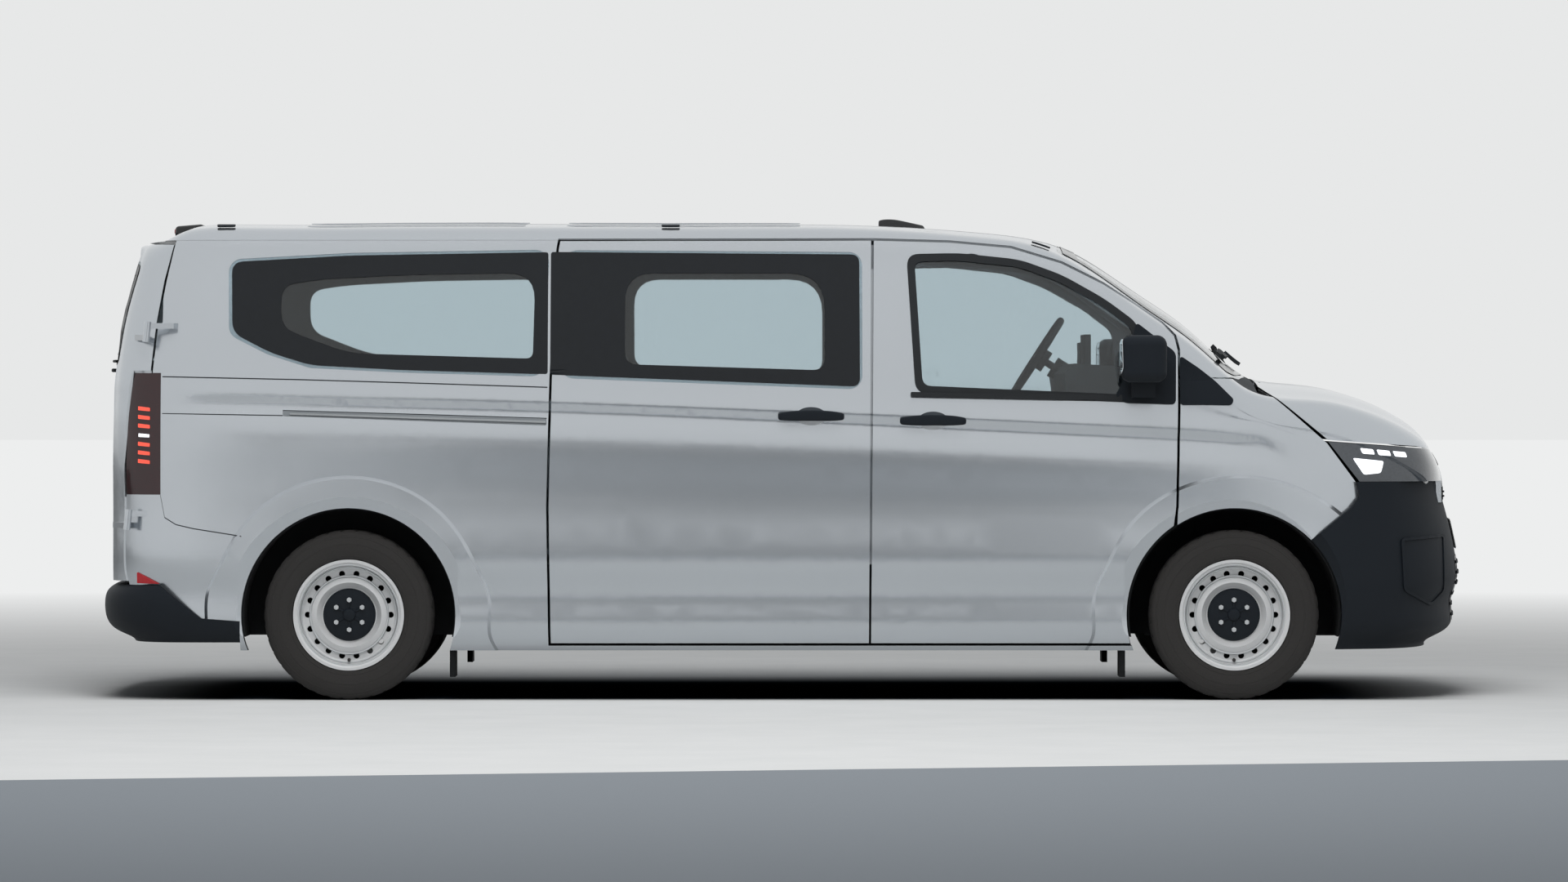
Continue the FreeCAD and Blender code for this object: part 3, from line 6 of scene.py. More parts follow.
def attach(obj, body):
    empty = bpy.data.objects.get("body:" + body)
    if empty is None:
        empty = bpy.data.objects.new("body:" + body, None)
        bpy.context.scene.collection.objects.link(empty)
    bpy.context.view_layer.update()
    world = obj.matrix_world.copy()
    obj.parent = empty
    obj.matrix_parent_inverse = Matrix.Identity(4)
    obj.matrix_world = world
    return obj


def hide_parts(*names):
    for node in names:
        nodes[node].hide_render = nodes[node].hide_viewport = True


# A long silver-grey minibus seen square from its right side. Metres, +X forward, +Y left, +Z up.
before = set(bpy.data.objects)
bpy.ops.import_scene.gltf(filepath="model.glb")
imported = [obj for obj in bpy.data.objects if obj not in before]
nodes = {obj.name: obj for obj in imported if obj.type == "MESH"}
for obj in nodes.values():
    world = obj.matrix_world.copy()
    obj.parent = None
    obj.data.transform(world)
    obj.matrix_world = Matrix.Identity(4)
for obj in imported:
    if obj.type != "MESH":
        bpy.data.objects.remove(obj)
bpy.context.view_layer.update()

# Body shell: pressed steel panels in silver-grey metallic paint under a clear coat.
# The paint is finished on the CAD panels themselves; doors and bonnet get the same coat.


def linear(code):
    """A linear colour from an sRGB hex code."""
    parts = [int(code[i:i + 2], 16) / 255 for i in (1, 3, 5)]
    return [c / 12.92 if c <= 0.04045 else ((c + 0.055) / 1.055) ** 2.4 for c in parts] + [1.0]


def add_node(tree, kind, settings=None, links=None):
    """A shader node with its settings and socket values; a link is (node, output name)."""
    made = tree.nodes.new(kind)
    for name, value in (settings or {}).items():
        setattr(made, name, value)
    for name, value in (links or {}).items():
        if isinstance(value, tuple) and isinstance(value[0], bpy.types.Node):
            tree.links.new(value[0].outputs[value[1]], made.inputs[name])
        else:
            made.inputs[name].default_value = value
    return made


def new_finish(name, colour, roughness, metallic=0.0):
    """A material with its Principled shader set to a plain finish."""
    finish = bpy.data.materials.new(name)
    finish.use_nodes = True
    shader = finish.node_tree.nodes["Principled BSDF"]
    shader.inputs["Base Color"].default_value = linear(colour)
    shader.inputs["Roughness"].default_value = roughness
    shader.inputs["Metallic"].default_value = metallic
    return finish, finish.node_tree, shader


def dress(finish, *names):
    """Puts a finish on whole CAD nodes."""
    for name in names:
        mesh = nodes[name].data
        mesh.materials.clear()
        mesh.materials.append(finish)


def mottle(tree, shader, size_mm, low, high, strength, depth_mm):
    """Fine grain: colour that varies between two hex codes, and a bump of the same grain."""
    place = add_node(tree, "ShaderNodeTexCoord")
    grain = add_node(tree, "ShaderNodeTexNoise", {}, {
        "Vector": (place, "Object"), "Scale": 1000 / size_mm, "Detail": 3.0, "Roughness": 0.6})
    tint = add_node(tree, "ShaderNodeMix", {"data_type": "RGBA"},
                    {0: (grain, "Fac"), 6: linear(low), 7: linear(high)})
    tree.links.new(tint.outputs[2], shader.inputs["Base Color"])
    bump = add_node(tree, "ShaderNodeBump", {}, {
        "Strength": strength, "Distance": depth_mm / 1000, "Height": (grain, "Fac")})
    tree.links.new(bump.outputs["Normal"], shader.inputs["Normal"])
    return place


def grained(name, colour, roughness, metallic=0.0, grain=()):
    """A plain finish with fine grain, of a size, two colours, a bump strength and a depth."""
    finish, tree, shader = new_finish(name, colour, roughness, metallic)
    mottle(tree, shader, *grain)
    return finish


# Metallic paint: flakes under lacquer give a slightly uneven silver grey and a sharp second gloss.
paint, tree, shader = new_finish("metallic_paint_silver_grey", "#BFC4C9", 0.21, 0.9)
shader.inputs["Coat Weight"].default_value = 0.4
shader.inputs["Coat Roughness"].default_value = 0.05
mottle(tree, shader, 1.5, "#B9BEC3", "#C5CACF", 0.02, 0.05)
PAINTED = ["roof", "side_left", "side_right", "fenders", "sliding_door", "bonnet", "door_front_left",
           "door_front_right", "door_rear_left", "door_rear_right"]
dress(paint, *PAINTED)

# Glazing: 5 mm tinted safety glass, see-through with a grey-green edge.
glass, tree, shader = new_finish("tinted_safety_glass", "#D9E4E8", 0.02)
shader.inputs["Transmission Weight"].default_value = 1.0
shader.inputs["IOR"].default_value = 1.5
dust = add_node(tree, "ShaderNodeTexNoise", {}, {"Scale": 1000 / 40, "Detail": 2.0})
haze = add_node(tree, "ShaderNodeMapRange", {}, {"Value": (dust, "Fac"), "To Min": 0.01, "To Max": 0.035})
tree.links.new(haze.outputs[0], shader.inputs["Roughness"])
coords = add_node(tree, "ShaderNodeTexCoord")
tree.links.new(coords.outputs["Object"], dust.inputs["Vector"])
PANES = ["windscreen", "side_glass_fixed", "sliding_door_glass", "glass_front_left", "glass_front_right",
         "glass_rear_left", "glass_rear_right"]
dress(glass, *PANES)

# Bumpers, grille panel, mirrors and cowl: moulded black-grey plastic with a fine grain.
plastic, tree, shader = new_finish("grained_dark_plastic", "#10161D", 0.68)
mottle(tree, shader, 2.0, "#0E141A", "#131920", 0.25, 0.15)
shader.inputs["Specular IOR Level"].default_value = 0.3
dress(plastic, "bumper_front", "bumper_rear", "grille", "mirror_left", "mirror_right", "cowl")

# Wheel liners and mud flaps: felted black fibre and rubber that swallow the light.
felt = grained("black_fibre_felt", "#101214", 0.95, grain=(6.0, "#0B0D0F", "#17191B", 0.6, 1.0))
dress(felt, "wheel_liners", "mud_flaps")

# Underbody: floor pan, subframe and axles in satin black chassis coating.
coating = grained("chassis_coating_black", "#15171A", 0.7, grain=(8.0, "#111315", "#1C1E21", 0.4, 0.5))
dress(coating, "floor", "subframe", "axle_rear", "fuel_tank", "knuckle_left", "knuckle_right", "engine")
steel = grained("dull_exhaust_steel", "#7A756E", 0.5, 0.9, grain=(12.0, "#6B6660", "#857F78", 0.2, 0.3))
dress(steel, "exhaust")

# Tyres: sooty black rubber with faint moulding rings round the sidewall.
rubber = grained("vulcanised_tyre_rubber", "#2D2C2B", 0.85, grain=(5.0, "#272625", "#343231", 0.4, 0.4))
dress(rubber, *[f"tyre_{end}_{side}" for end in ("front", "rear") for side in ("left", "right")])

# Rims: pressed steel in silver wheel enamel.
enamel = grained("silver_wheel_enamel", "#D6D7D8", 0.4, 0.2, grain=(2.5, "#D1D2D3", "#DADBDC", 0.05, 0.1))
dress(enamel, *[f"rim_{end}_{side}" for end in ("front", "rear") for side in ("left", "right")])

# Lamps: clear polycarbonate covers, dark red at the back.
clear, tree, shader = new_finish("lamp_cover_smoke", "#3A4046", 0.12)
mottle(tree, shader, 9.0, "#32383E", "#454B52", 0.1, 0.2)
shader.inputs["Coat Weight"].default_value = 1.0
dress(clear, "headlamps")
red, tree, shader = new_finish("lamp_cover_dark_red", "#2A060D", 0.12)
mottle(tree, shader, 14.0, "#25050B", "#300810", 0.05, 0.1)
shader.inputs["Coat Weight"].default_value = 0.3
dress(red, "tail_lamps")

# Cabin: soft-touch dashboard and steering wheel, cloth seats.
trim = grained("soft_touch_cabin_plastic", "#202326", 0.75, grain=(2.5, "#1C1F22", "#272A2D", 0.3, 0.2))
dress(trim, "dashboard", "steering_wheel")
cloth, tree, shader = new_finish("woven_seat_cloth", "#26282B", 0.95)
mottle(tree, shader, 4.0, "#1F2123", "#303336", 0.5, 0.6)
shader.inputs["Sheen Weight"].default_value = 0.3
dress(cloth, "seats_front", "seat_bench")


# Window borders: black enamel fired round the fixed panes and the sliding door's pane.
# The clear part in the middle is smaller than the glass, so each border is a thin sheet lying on it.


def rounded_ring(points, radius, steps=6):
    """A closed outline with each corner turned on a radius, or on its own radius where three values are given."""
    ring = []
    count = len(points)
    for i in range(count):
        corner = Vector(points[i][:2])
        before = Vector(points[i - 1][:2]) - corner
        after = Vector(points[(i + 1) % count][:2]) - corner
        turn = radius if len(points[i]) < 3 else points[i][2]
        reach = min(turn, before.length * 0.45, after.length * 0.45)
        start = corner + before.normalized() * reach
        end = corner + after.normalized() * reach
        for step in range(steps + 1):
            part = step / steps
            ring.append(((1 - part) ** 2 * start + 2 * part * (1 - part) * corner + part ** 2 * end)[:])
    return ring


def pick(*pieces):
    """Selects the pieces and makes the first of them the active one."""
    bpy.ops.object.select_all(action="DESELECT")
    for piece in pieces:
        piece.select_set(True)
    bpy.context.view_layer.objects.active = pieces[0]


def flat_sheet(name, rings, grid=0.07):
    """A flat sheet standing in the XZ plane: the first ring is its edge, the others are holes."""
    outline = bpy.data.curves.new(name, "CURVE")
    outline.dimensions = "2D"
    outline.fill_mode = "BOTH"
    for ring in rings:
        spline = outline.splines.new("POLY")
        spline.points.add(len(ring) - 1)
        for point, (x, z) in zip(spline.points, ring):
            point.co = (x, z, 0, 1)
        spline.use_cyclic_u = True
    sheet = bpy.data.objects.new(name, outline)
    bpy.context.scene.collection.objects.link(sheet)
    pick(sheet)
    bpy.ops.object.convert(target="MESH")
    sheet = bpy.context.object
    sheet.name = name
    sheet.data.transform(Matrix.Rotation(math.radians(90), 4, "X"))
    bpy.ops.object.mode_set(mode="EDIT")
    xs = [x for x, z in rings[0]]
    zs = [z for x, z in rings[0]]
    for low, high, way in ((min(xs), max(xs), (1, 0, 0)), (min(zs), max(zs), (0, 0, 1))):
        for cut in range(1, int((high - low) / grid) + 1):
            at = low + cut * (high - low) / (int((high - low) / grid) + 1)
            bpy.ops.mesh.select_all(action="SELECT")
            bpy.ops.mesh.bisect(plane_co=(at * way[0], 0, at * way[2]), plane_no=way)
    bpy.ops.object.mode_set(mode="OBJECT")
    return sheet


def apply_all(piece):
    """Applies a piece's modifiers in order."""
    pick(piece)
    for modifier in list(piece.modifiers):
        bpy.ops.object.modifier_apply(modifier=modifier.name)


def outer_skin(name, *names):
    """One mesh of several CAD panels, to lay trim on; it is taken away after its last use."""
    made = bpy.data.objects.new(name, nodes[names[0]].data.copy())
    bpy.context.scene.collection.objects.link(made)
    for other in names[1:]:
        extra = bpy.data.objects.new(name + "_part", nodes[other].data.copy())
        bpy.context.scene.collection.objects.link(extra)
        pick(made, extra)
        bpy.ops.object.join()
    return made


def lay(sheet, target, way, lift, thickness):
    """Lays a flat sheet that stands off the object on the face that it meets along a way, and gives it a wall."""
    axis = "xyz".index(way[1])
    before = [point.co.copy() for point in sheet.data.vertices]
    wrap = sheet.modifiers.new("lay", "SHRINKWRAP")
    wrap.wrap_method = "PROJECT"
    wrap.use_project_x = axis == 0
    wrap.use_project_y = axis == 1
    wrap.use_project_z = axis == 2
    wrap.use_negative_direction = way[0] == "-"
    wrap.use_positive_direction = way[0] == "+"
    wrap.target = target
    apply_all(sheet)
    points = sheet.data.vertices
    landed = [i for i in range(len(points)) if abs(points[i].co[axis] - before[i][axis]) > 0.0001]
    for i in set(range(len(points))) - set(landed):
        nearest = min(landed, key=lambda other: (before[other] - before[i]).length)
        points[i].co[axis] = points[nearest].co[axis]
    out = Vector((0, 0, 0))
    out[axis] = -1 if way[0] == "+" else 1
    sheet.data.transform(Matrix.Translation(out * lift))
    wall = sheet.modifiers.new("wall", "SOLIDIFY")
    wall.thickness = thickness
    wall.offset = 1 if sheet.data.polygons[0].normal.dot(out) > 0 else -1
    apply_all(sheet)
    bpy.ops.object.mode_set(mode="EDIT")
    bpy.ops.mesh.select_all(action="SELECT")
    bpy.ops.mesh.normals_make_consistent(inside=False)
    bpy.ops.object.mode_set(mode="OBJECT")
    return sheet


# How far off the sheets stand before they are laid: past the mirrors, past each end and over the roof.
BESIDE = 1.4
AHEAD = 3.2
ABOVE = 2.6


def lay_on_side(sheet, target, lift, thickness):
    """Lays a standing sheet on the right-hand face of a panel, a little proud of it."""
    sheet.data.transform(Matrix.Translation((0, -BESIDE, 0)))
    return lay(sheet, target, "+y", lift, thickness)


def copied(piece, name, matrix):
    """A copy of a piece with its own mesh, moved by a matrix."""
    twin = bpy.data.objects.new(name, piece.data.copy())
    bpy.context.scene.collection.objects.link(twin)
    twin.data.transform(matrix)
    if matrix.determinant() < 0:
        twin.data.flip_normals()
    return twin


def finish_piece(piece, finish, body):
    """Gives a made piece its finish and its body."""
    piece.data.materials.clear()
    piece.data.materials.append(finish)
    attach(piece, body)
    return piece


def both_sides(piece, name, finish, bodies):
    """Finishes a piece made for the right side and its mirrored twin, each on its own body."""
    twin = copied(piece, name + "_left", Matrix.Scale(-1, 4, (0, 1, 0)))
    piece.name = name + "_right"
    finish_piece(piece, finish, bodies[0])
    finish_piece(twin, finish, bodies[1])


def side_trim(name, rings, lift, thickness, finish, bodies, grid=0.07, target=None):
    """A thin piece laid on the right side, or on one node of it, and its twin on the left."""
    trim = lay_on_side(flat_sheet(name, rings, grid), target or side_skin, lift, thickness)
    both_sides(trim, name, finish, bodies)


side_skin = outer_skin("side_skin", "side_right", "fenders", "door_front_right", "glass_front_right", "sliding_door",
                       "sliding_door_glass", "side_glass_fixed")
enamel_black, tree, shader = new_finish("black_glass_enamel", "#0B1016", 0.12)
shader.inputs["Specular IOR Level"].default_value = 0.3
mottle(tree, shader, 30.0, "#12161A", "#171B20", 0.02, 0.1)

BODY = ("body", "body")
MIDDLE_EDGE = [(-0.923, 1.772, 0.012), (0.298, 1.762), (0.300, 1.239), (-0.923, 1.286, 0.012)]
MIDDLE_CLEAR = [(-0.628, 1.687, 0.11), (0.160, 1.687, 0.14), (0.161, 1.303, 0.05), (-0.628, 1.327, 0.05)]
QUARTER_EDGE = [
    (-2.186, 1.732), (-1.716, 1.758), (-0.933, 1.771, 0.012), (-0.933, 1.288, 0.012), (-1.513, 1.305),
    (-1.871, 1.324), (-2.030, 1.374), (-2.180, 1.452)]
QUARTER_CLEAR = [
    (-1.987, 1.640, 0.06), (-1.835, 1.663, 0.1), (-1.490, 1.681, 0.1), (-0.984, 1.689, 0.11), (-0.992, 1.349, 0.03),
    (-1.680, 1.369, 0.1), (-1.766, 1.387, 0.1), (-1.987, 1.472, 0.06)]
side_trim("middle_border", [rounded_ring(MIDDLE_EDGE, 0.035), rounded_ring(MIDDLE_CLEAR, 0.08)], 0.0012, 0.001,
          enamel_black, BODY)
side_trim("quarter_border", [rounded_ring(QUARTER_EDGE, 0.045), rounded_ring(QUARTER_CLEAR, 0.08)], 0.0012, 0.001,
          enamel_black, BODY)

# Front door window surround: a black rubber seal all round the dropping pane, a moulded sail at its front corner
# that carries on over the wing, and a scraper strip along the belt. Push-fitted over the door's flange.


def offset_ring(points, distance):
    """The same closed outline moved inwards by a distance."""
    ring = []
    count = len(points)
    middle = sum((Vector(p[:2]) for p in points), Vector((0, 0))) / count
    for i in range(count):
        here = Vector(points[i][:2])
        back = (here - Vector(points[i - 1][:2])).normalized()
        ahead = (Vector(points[(i + 1) % count][:2]) - here).normalized()
        first = Vector((-back.y, back.x))
        second = Vector((-ahead.y, ahead.x))
        if first.dot(middle - here) < 0:
            first = -first
        if second.dot(middle - here) < 0:
            second = -second
        way = first + second
        ring.append((here + way * distance / max(0.4, 1 + first.dot(second)))[:])
    return ring


seal_rubber = grained("window_seal_rubber", "#16191C", 0.7, grain=(3.0, "#131619", "#1B1E21", 0.2, 0.15))
DOORS = ("front_door_right", "front_door_left")
PANE = [(0.489, 1.759), (0.689, 1.763), (0.934, 1.737), (1.100, 1.676), (1.266, 1.582), (1.400, 1.482),
        (1.422, 1.178), (0.523, 1.217)]
seal_rings = [rounded_ring(offset_ring(PANE, -0.004), 0.05), rounded_ring(offset_ring(PANE, 0.026), 0.035)]
side_trim("window_seal", seal_rings,
          0.004, 0.004, seal_rubber, DOORS, 0.05)
SAIL_DOOR = [(1.392, 1.493), (1.548, 1.372), (1.546, 1.168), (1.345, 1.174), (1.305, 1.200), (1.338, 1.260)]
SAIL_WING = [(1.563, 1.362), (1.640, 1.310), (1.700, 1.262), (1.775, 1.188), (1.768, 1.166), (1.563, 1.166)]
side_trim("mirror_sail", [rounded_ring(SAIL_DOOR, 0.02)], 0.007, 0.006, plastic, DOORS, 0.05)
side_trim("wing_sail", [rounded_ring(SAIL_WING, 0.018)], 0.007, 0.006, plastic, BODY, 0.05)
side_trim("belt_strip", [rounded_ring([(0.500, 1.217), (1.335, 1.206), (1.335, 1.180), (0.500, 1.197)], 0.006)],
          0.007, 0.006, seal_rubber, DOORS, 0.05)

# Rear quarter: the sliding door's rail in its pressed channel, and the seams where the quarter panel is spot-welded
# and sealed to the upper side and the lower corner. The rail is bright steel; the channel round it is not sunk but
# laid on as a sheet of painted shade, and a dark line of painted shade runs under its top lip.
seam_sealer_and_painted_shade = grained("dark_seam_sealer_and_painted_shade", "#1E2226", 0.8, grain=(4.0, "#1A1E22", "#24282C", 0.2, 0.1))
painted_channel_shade = grained("painted_shadow_in_rail_channel", "#7E8387", 0.5, 0.4, grain=(2.0, "#777C80", "#868B8F", 0.05, 0.1))
rail_steel = grained("zinc_plated_rail_steel", "#9DA1A4", 0.35, 0.9, grain=(6.0, "#93979A", "#A8ACAF", 0.05, 0.1))
# The channel is a flat sheet of paint darkened as painted shade, standing in for the recess.
side_trim("rail_channel_painted_shade", [rounded_ring([(-1.978, 1.143), (-0.937, 1.112), (-0.937, 1.086), (-1.978, 1.123)], 0.008)],
          0.0012, 0.001, painted_channel_shade, BODY)
side_trim("rail_bar", [rounded_ring([(-1.950, 1.134), (-0.940, 1.103), (-0.940, 1.094), (-1.950, 1.127)], 0.003)],
          0.004, 0.003, rail_steel, BODY)


def dark_line(name, points, width, bodies=BODY):
    """A thin dark line along a line of side-view points: a sealed seam, and under the channel's lip a line of painted
    shade.
    """
    lower = [(x, z - width) for x, z in reversed(points)]
    side_trim(name, [points + lower], 0.0012, 0.0008, seam_sealer_and_painted_shade, bodies, 0.05)


dark_line("upper_seam", [(-2.455, 1.280), (-1.900, 1.268), (-1.400, 1.253), (-0.934, 1.238)], 0.004)
dark_line("channel_seam", [(-2.455, 1.134), (-2.200, 1.130), (-1.978, 1.126)], 0.003)
# Not a seam: a dark line of painted shade under the rail channel's top lip.
dark_line("channel_lip_painted_shade", [(-1.978, 1.146), (-1.450, 1.131), (-0.937, 1.115)], 0.004)
dark_line("corner_seam", [(-2.462, 0.812), (-2.445, 0.724), (-2.400, 0.696), (-2.330, 0.680), (-2.140, 0.650)], 0.004)


def skin_point(x, z):
    """The point of the right side's outer face at a side-view point."""
    return side_skin.ray_cast(Vector((x, -BESIDE, z)), Vector((0, 1, 0)))[1]


# Pull handles: a black moulded bar on two feet, bowed for the fingers, over the door's pressed bowl, which is not
# shaped here but painted on the skin: painted shade in its upper half and a painted highlight in its lower half. One
# on each side door.
painted_bowl_shade = grained("painted_shade_in_handle_bowl", "#3A4046", 0.5, 0.3, grain=(2.0, "#343A40", "#42484E", 0.05, 0.1))
painted_bowl_highlight = grained("painted_highlight_in_handle_bowl", "#C6CACD", 0.4, 0.3, grain=(2.0, "#C0C4C8", "#CDD0D3", 0.05, 0.1))


def half_moon(x, z, radius_x, radius_z, way):
    """Half of an oval as a closed outline, above (1) or below (-1) a point."""
    turns = [math.pi * i / 14 for i in range(15)]
    return [(x + radius_x * math.cos(a), z + way * radius_z * math.sin(a)) for a in turns]


def block(name, centre, lengths):
    """A block of given lengths round a centre, to be shaped further."""
    bpy.ops.object.select_all(action="DESELECT")
    bpy.ops.mesh.primitive_cube_add(size=1, location=centre)
    made = bpy.context.object
    made.name = name
    made.dimensions = lengths
    bpy.ops.object.transform_apply(location=True, rotation=False, scale=True)
    return made


def cut_across(piece, places):
    """Cuts rings of edges round a piece at places along the vehicle."""
    pick(piece)
    bpy.ops.object.mode_set(mode="EDIT")
    for x in places:
        bpy.ops.mesh.select_all(action="SELECT")
        bpy.ops.mesh.bisect(plane_co=(x, 0, 0), plane_no=(1, 0, 0))
    bpy.ops.object.mode_set(mode="OBJECT")


def soften(piece, width, segments, rounds=0):
    """Rounds a piece's edges, and its whole form where rounds are given."""
    edge = piece.modifiers.new("edge", "BEVEL")
    edge.width = width
    edge.segments = segments
    if rounds:
        form = piece.modifiers.new("round", "SUBSURF")
        form.levels = rounds
        form.render_levels = rounds
    apply_all(piece)


def pull_handle(name, x, z, bodies):
    """A handle with its bowl, painted as shade above and highlight below, on the right side, and its twin on the
    left.
    """
    # The bowl is two thin sheets: a dark one of painted shade above and a pale one of painted highlight below.
    side_trim(name + "_bowl_painted_shade", [half_moon(x, z + 0.004, 0.060, 0.034, 1)], 0.001, 0.0008, painted_bowl_shade, bodies)
    side_trim(name + "_bowl_painted_highlight", [half_moon(x, z - 0.004, 0.058, 0.030, -1)], 0.001, 0.0008, painted_bowl_highlight, bodies)
    place = skin_point(x, z)
    bar = block(name, (x, place.y - 0.024, z), (0.262, 0.024, 0.042))
    cut_across(bar, [x + step for step in (-0.115, -0.085, -0.05, 0.0, 0.05, 0.085, 0.115)])
    for vertex in bar.data.vertices:
        reach = min(1.0, abs(vertex.co.x - x) / 0.131)
        vertex.co.z = z + (vertex.co.z - z) * (1.0 - 0.42 * reach ** 4) + 0.004 * (1 - reach ** 2)
        inner = vertex.co.y > place.y - 0.024
        foot = 0.014 if inner and reach > 0.6 else 0.0
        vertex.co.y += foot - 0.004 * (1 - reach ** 2) + (0.006 * reach ** 4 if not inner else 0.0)
    soften(bar, 0.007, 2, 2)
    bpy.ops.object.shade_smooth()
    both_sides(bar, name, plastic, bodies)


pull_handle("sliding_handle", 0.107, 1.120, BODY)
pull_handle("front_handle", 0.588, 1.102, DOORS)
bpy.data.objects.remove(side_skin)

# Wheel caps: a dark moulded cap pressed over each hub, with six bright wheel nuts and six short ribs round a boss.
nut_steel = grained("bright_nut_steel", "#C9CCCE", 0.3, 0.85, grain=(3.0, "#C0C3C5", "#D2D5D7", 0.05, 0.1))
HUB = {"front": 1.780, "rear": -1.720}
WHEEL_Y = -0.870
AXLE_Z = 0.336


def turned(name, profile, steps):
    """A form turned about the wheel's axis from (radius, distance outward) pairs, standing at the origin."""
    bpy.ops.object.select_all(action="DESELECT")
    bpy.ops.mesh.primitive_plane_add(size=1, location=(0, 0, 0))
    form = bpy.context.object
    form.name = name
    bpy.ops.object.mode_set(mode="EDIT")
    bpy.ops.mesh.delete(type="ONLY_FACE")
    bpy.ops.mesh.select_all(action="SELECT")
    bpy.ops.mesh.merge(type="CENTER")
    bpy.ops.object.mode_set(mode="OBJECT")
    form.data.vertices[0].co = (profile[0][0], -profile[0][1], 0)
    bpy.ops.object.mode_set(mode="EDIT")
    bpy.ops.mesh.select_all(action="SELECT")
    for before, after in zip(profile, profile[1:]):
        bpy.ops.mesh.extrude_vertices_move(
            TRANSFORM_OT_translate={"value": (after[0] - before[0], before[1] - after[1], 0)})
    bpy.ops.object.mode_set(mode="OBJECT")
    turn = form.modifiers.new("turn", "SCREW")
    turn.axis = "Y"
    turn.steps = steps
    turn.render_steps = steps
    turn.use_merge_vertices = True
    turn.merge_threshold = 0.0001
    apply_all(form)
    bpy.ops.object.mode_set(mode="EDIT")
    bpy.ops.mesh.select_all(action="SELECT")
    bpy.ops.mesh.remove_doubles(threshold=0.00005)
    bpy.ops.mesh.normals_make_consistent(inside=False)
    bpy.ops.object.mode_set(mode="OBJECT")
    return form


def joined(name, pieces):
    """Several pieces made one."""
    pick(*pieces)
    bpy.ops.object.join()
    pieces[0].name = name
    return pieces[0]


def on_wheels(master, name, finish, replaced=""):
    """A form made for a right-hand wheel at the origin, put on each wheel; it may stand for a node there."""
    for end in ("front", "rear"):
        for side, way in (("right", 1), ("left", -1)):
            place = Matrix.Translation((HUB[end], way * WHEEL_Y, AXLE_Z)) @ Matrix.Scale(way, 4, (0, 1, 0))
            twin = copied(master, f"{name}_{end}_{side}", place)
            finish_piece(twin, finish, f"{end}_wheel_{side}")
            if replaced:
                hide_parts(f"{replaced}_{end}_{side}")
    bpy.data.objects.remove(master)


cap = turned("cap", [(0, 0.060), (0.018, 0.060), (0.023, 0.057), (0.026, 0.050), (0.050, 0.048), (0.078, 0.045),
                     (0.096, 0.041), (0.103, 0.037), (0.105, 0.030), (0.0, 0.030)], 60)
bpy.ops.object.shade_smooth_by_angle(angle=math.radians(35))
ribs = []
for i in range(6):
    rib = block("rib", (0.040, -0.050, 0), (0.030, 0.006, 0.009))
    soften(rib, 0.002, 2)
    rib.data.transform(Matrix.Rotation(math.radians(60 * i + 30), 4, "Y"))
    ribs.append(rib)
cap = joined("cap", [cap] + ribs)
on_wheels(cap, "wheel_cap", plastic)

nuts = []
for i in range(6):
    bpy.ops.object.select_all(action="DESELECT")
    bpy.ops.mesh.primitive_cylinder_add(vertices=6, radius=0.0105, depth=0.016, location=(0, -0.051, 0.059),
                                        rotation=(math.radians(90), 0, 0))
    nut = bpy.context.object
    bpy.ops.object.transform_apply(location=True, rotation=True, scale=True)
    soften(nut, 0.002, 2)
    nut.data.transform(Matrix.Rotation(math.radians(60 * i), 4, "Y"))
    nuts.append(nut)
on_wheels(joined("nuts", nuts), "wheel_nuts", nut_steel)

# Rim edges: two bright rolled rings, one where the dish meets the cap and one at the flange, and the valve.
rings = []
for radius, reach, wire in ((0.1545, 0.0540, 0.0035), (0.1880, 0.0640, 0.0030), (0.1985, 0.0900, 0.0035)):
    bpy.ops.object.select_all(action="DESELECT")
    bpy.ops.mesh.primitive_torus_add(major_radius=radius, minor_radius=wire, major_segments=72, minor_segments=8,
                                     rotation=(math.radians(90), 0, 0), location=(0, -reach, 0))
    ring = bpy.context.object
    bpy.ops.object.transform_apply(location=True, rotation=True, scale=True)
    bpy.ops.object.shade_smooth()
    rings.append(ring)
on_wheels(joined("rim_rings", rings), "rim_ring", nut_steel)
valve = turned("valve", [(0, 0.034), (0.003, 0.034), (0.004, 0.032), (0.004, 0.020), (0.006, 0.016), (0.007, 0.0),
                         (0.0, 0.0)], 14)
valve.data.transform(Matrix.Translation((0, -0.054, -0.178)))
on_wheels(valve, "tyre_valve", rubber)

# Tyres: moulded rubber with four grooves round the tread, cross cuts in the shoulders and fine rings on the walls.
# Each is turned from its section; the cross cuts are pressed in afterwards.
TREAD = [
    (0.2035, 0.0836), (0.2100, 0.0880), (0.2194, 0.0896), (0.2250, 0.1000), (0.2330, 0.1022), (0.2340, 0.1036),
    (0.2375, 0.1036), (0.2385, 0.1030), (0.2550, 0.1068), (0.2750, 0.1068), (0.2760, 0.1058), (0.2790, 0.1058),
    (0.2800, 0.1064), (0.2900, 0.1050), (0.3060, 0.0998), (0.3070, 0.1004), (0.3100, 0.0994), (0.3110, 0.0976),
    (0.3180, 0.0960), (0.3250, 0.0900), (0.3310, 0.0820), (0.3340, 0.0720), (0.3350, 0.0600), (0.3352, 0.0560),
    (0.3280, 0.0545), (0.3280, 0.0475), (0.3356, 0.0460), (0.3358, 0.0260), (0.3280, 0.0245), (0.3280, 0.0155),
    (0.3360, 0.0140), (0.3360, 0.0050)]
section = TREAD + [(r, -y) for r, y in reversed(TREAD)] + [TREAD[0]]
ROUND = 144
tyre = turned("tyre", section, ROUND)
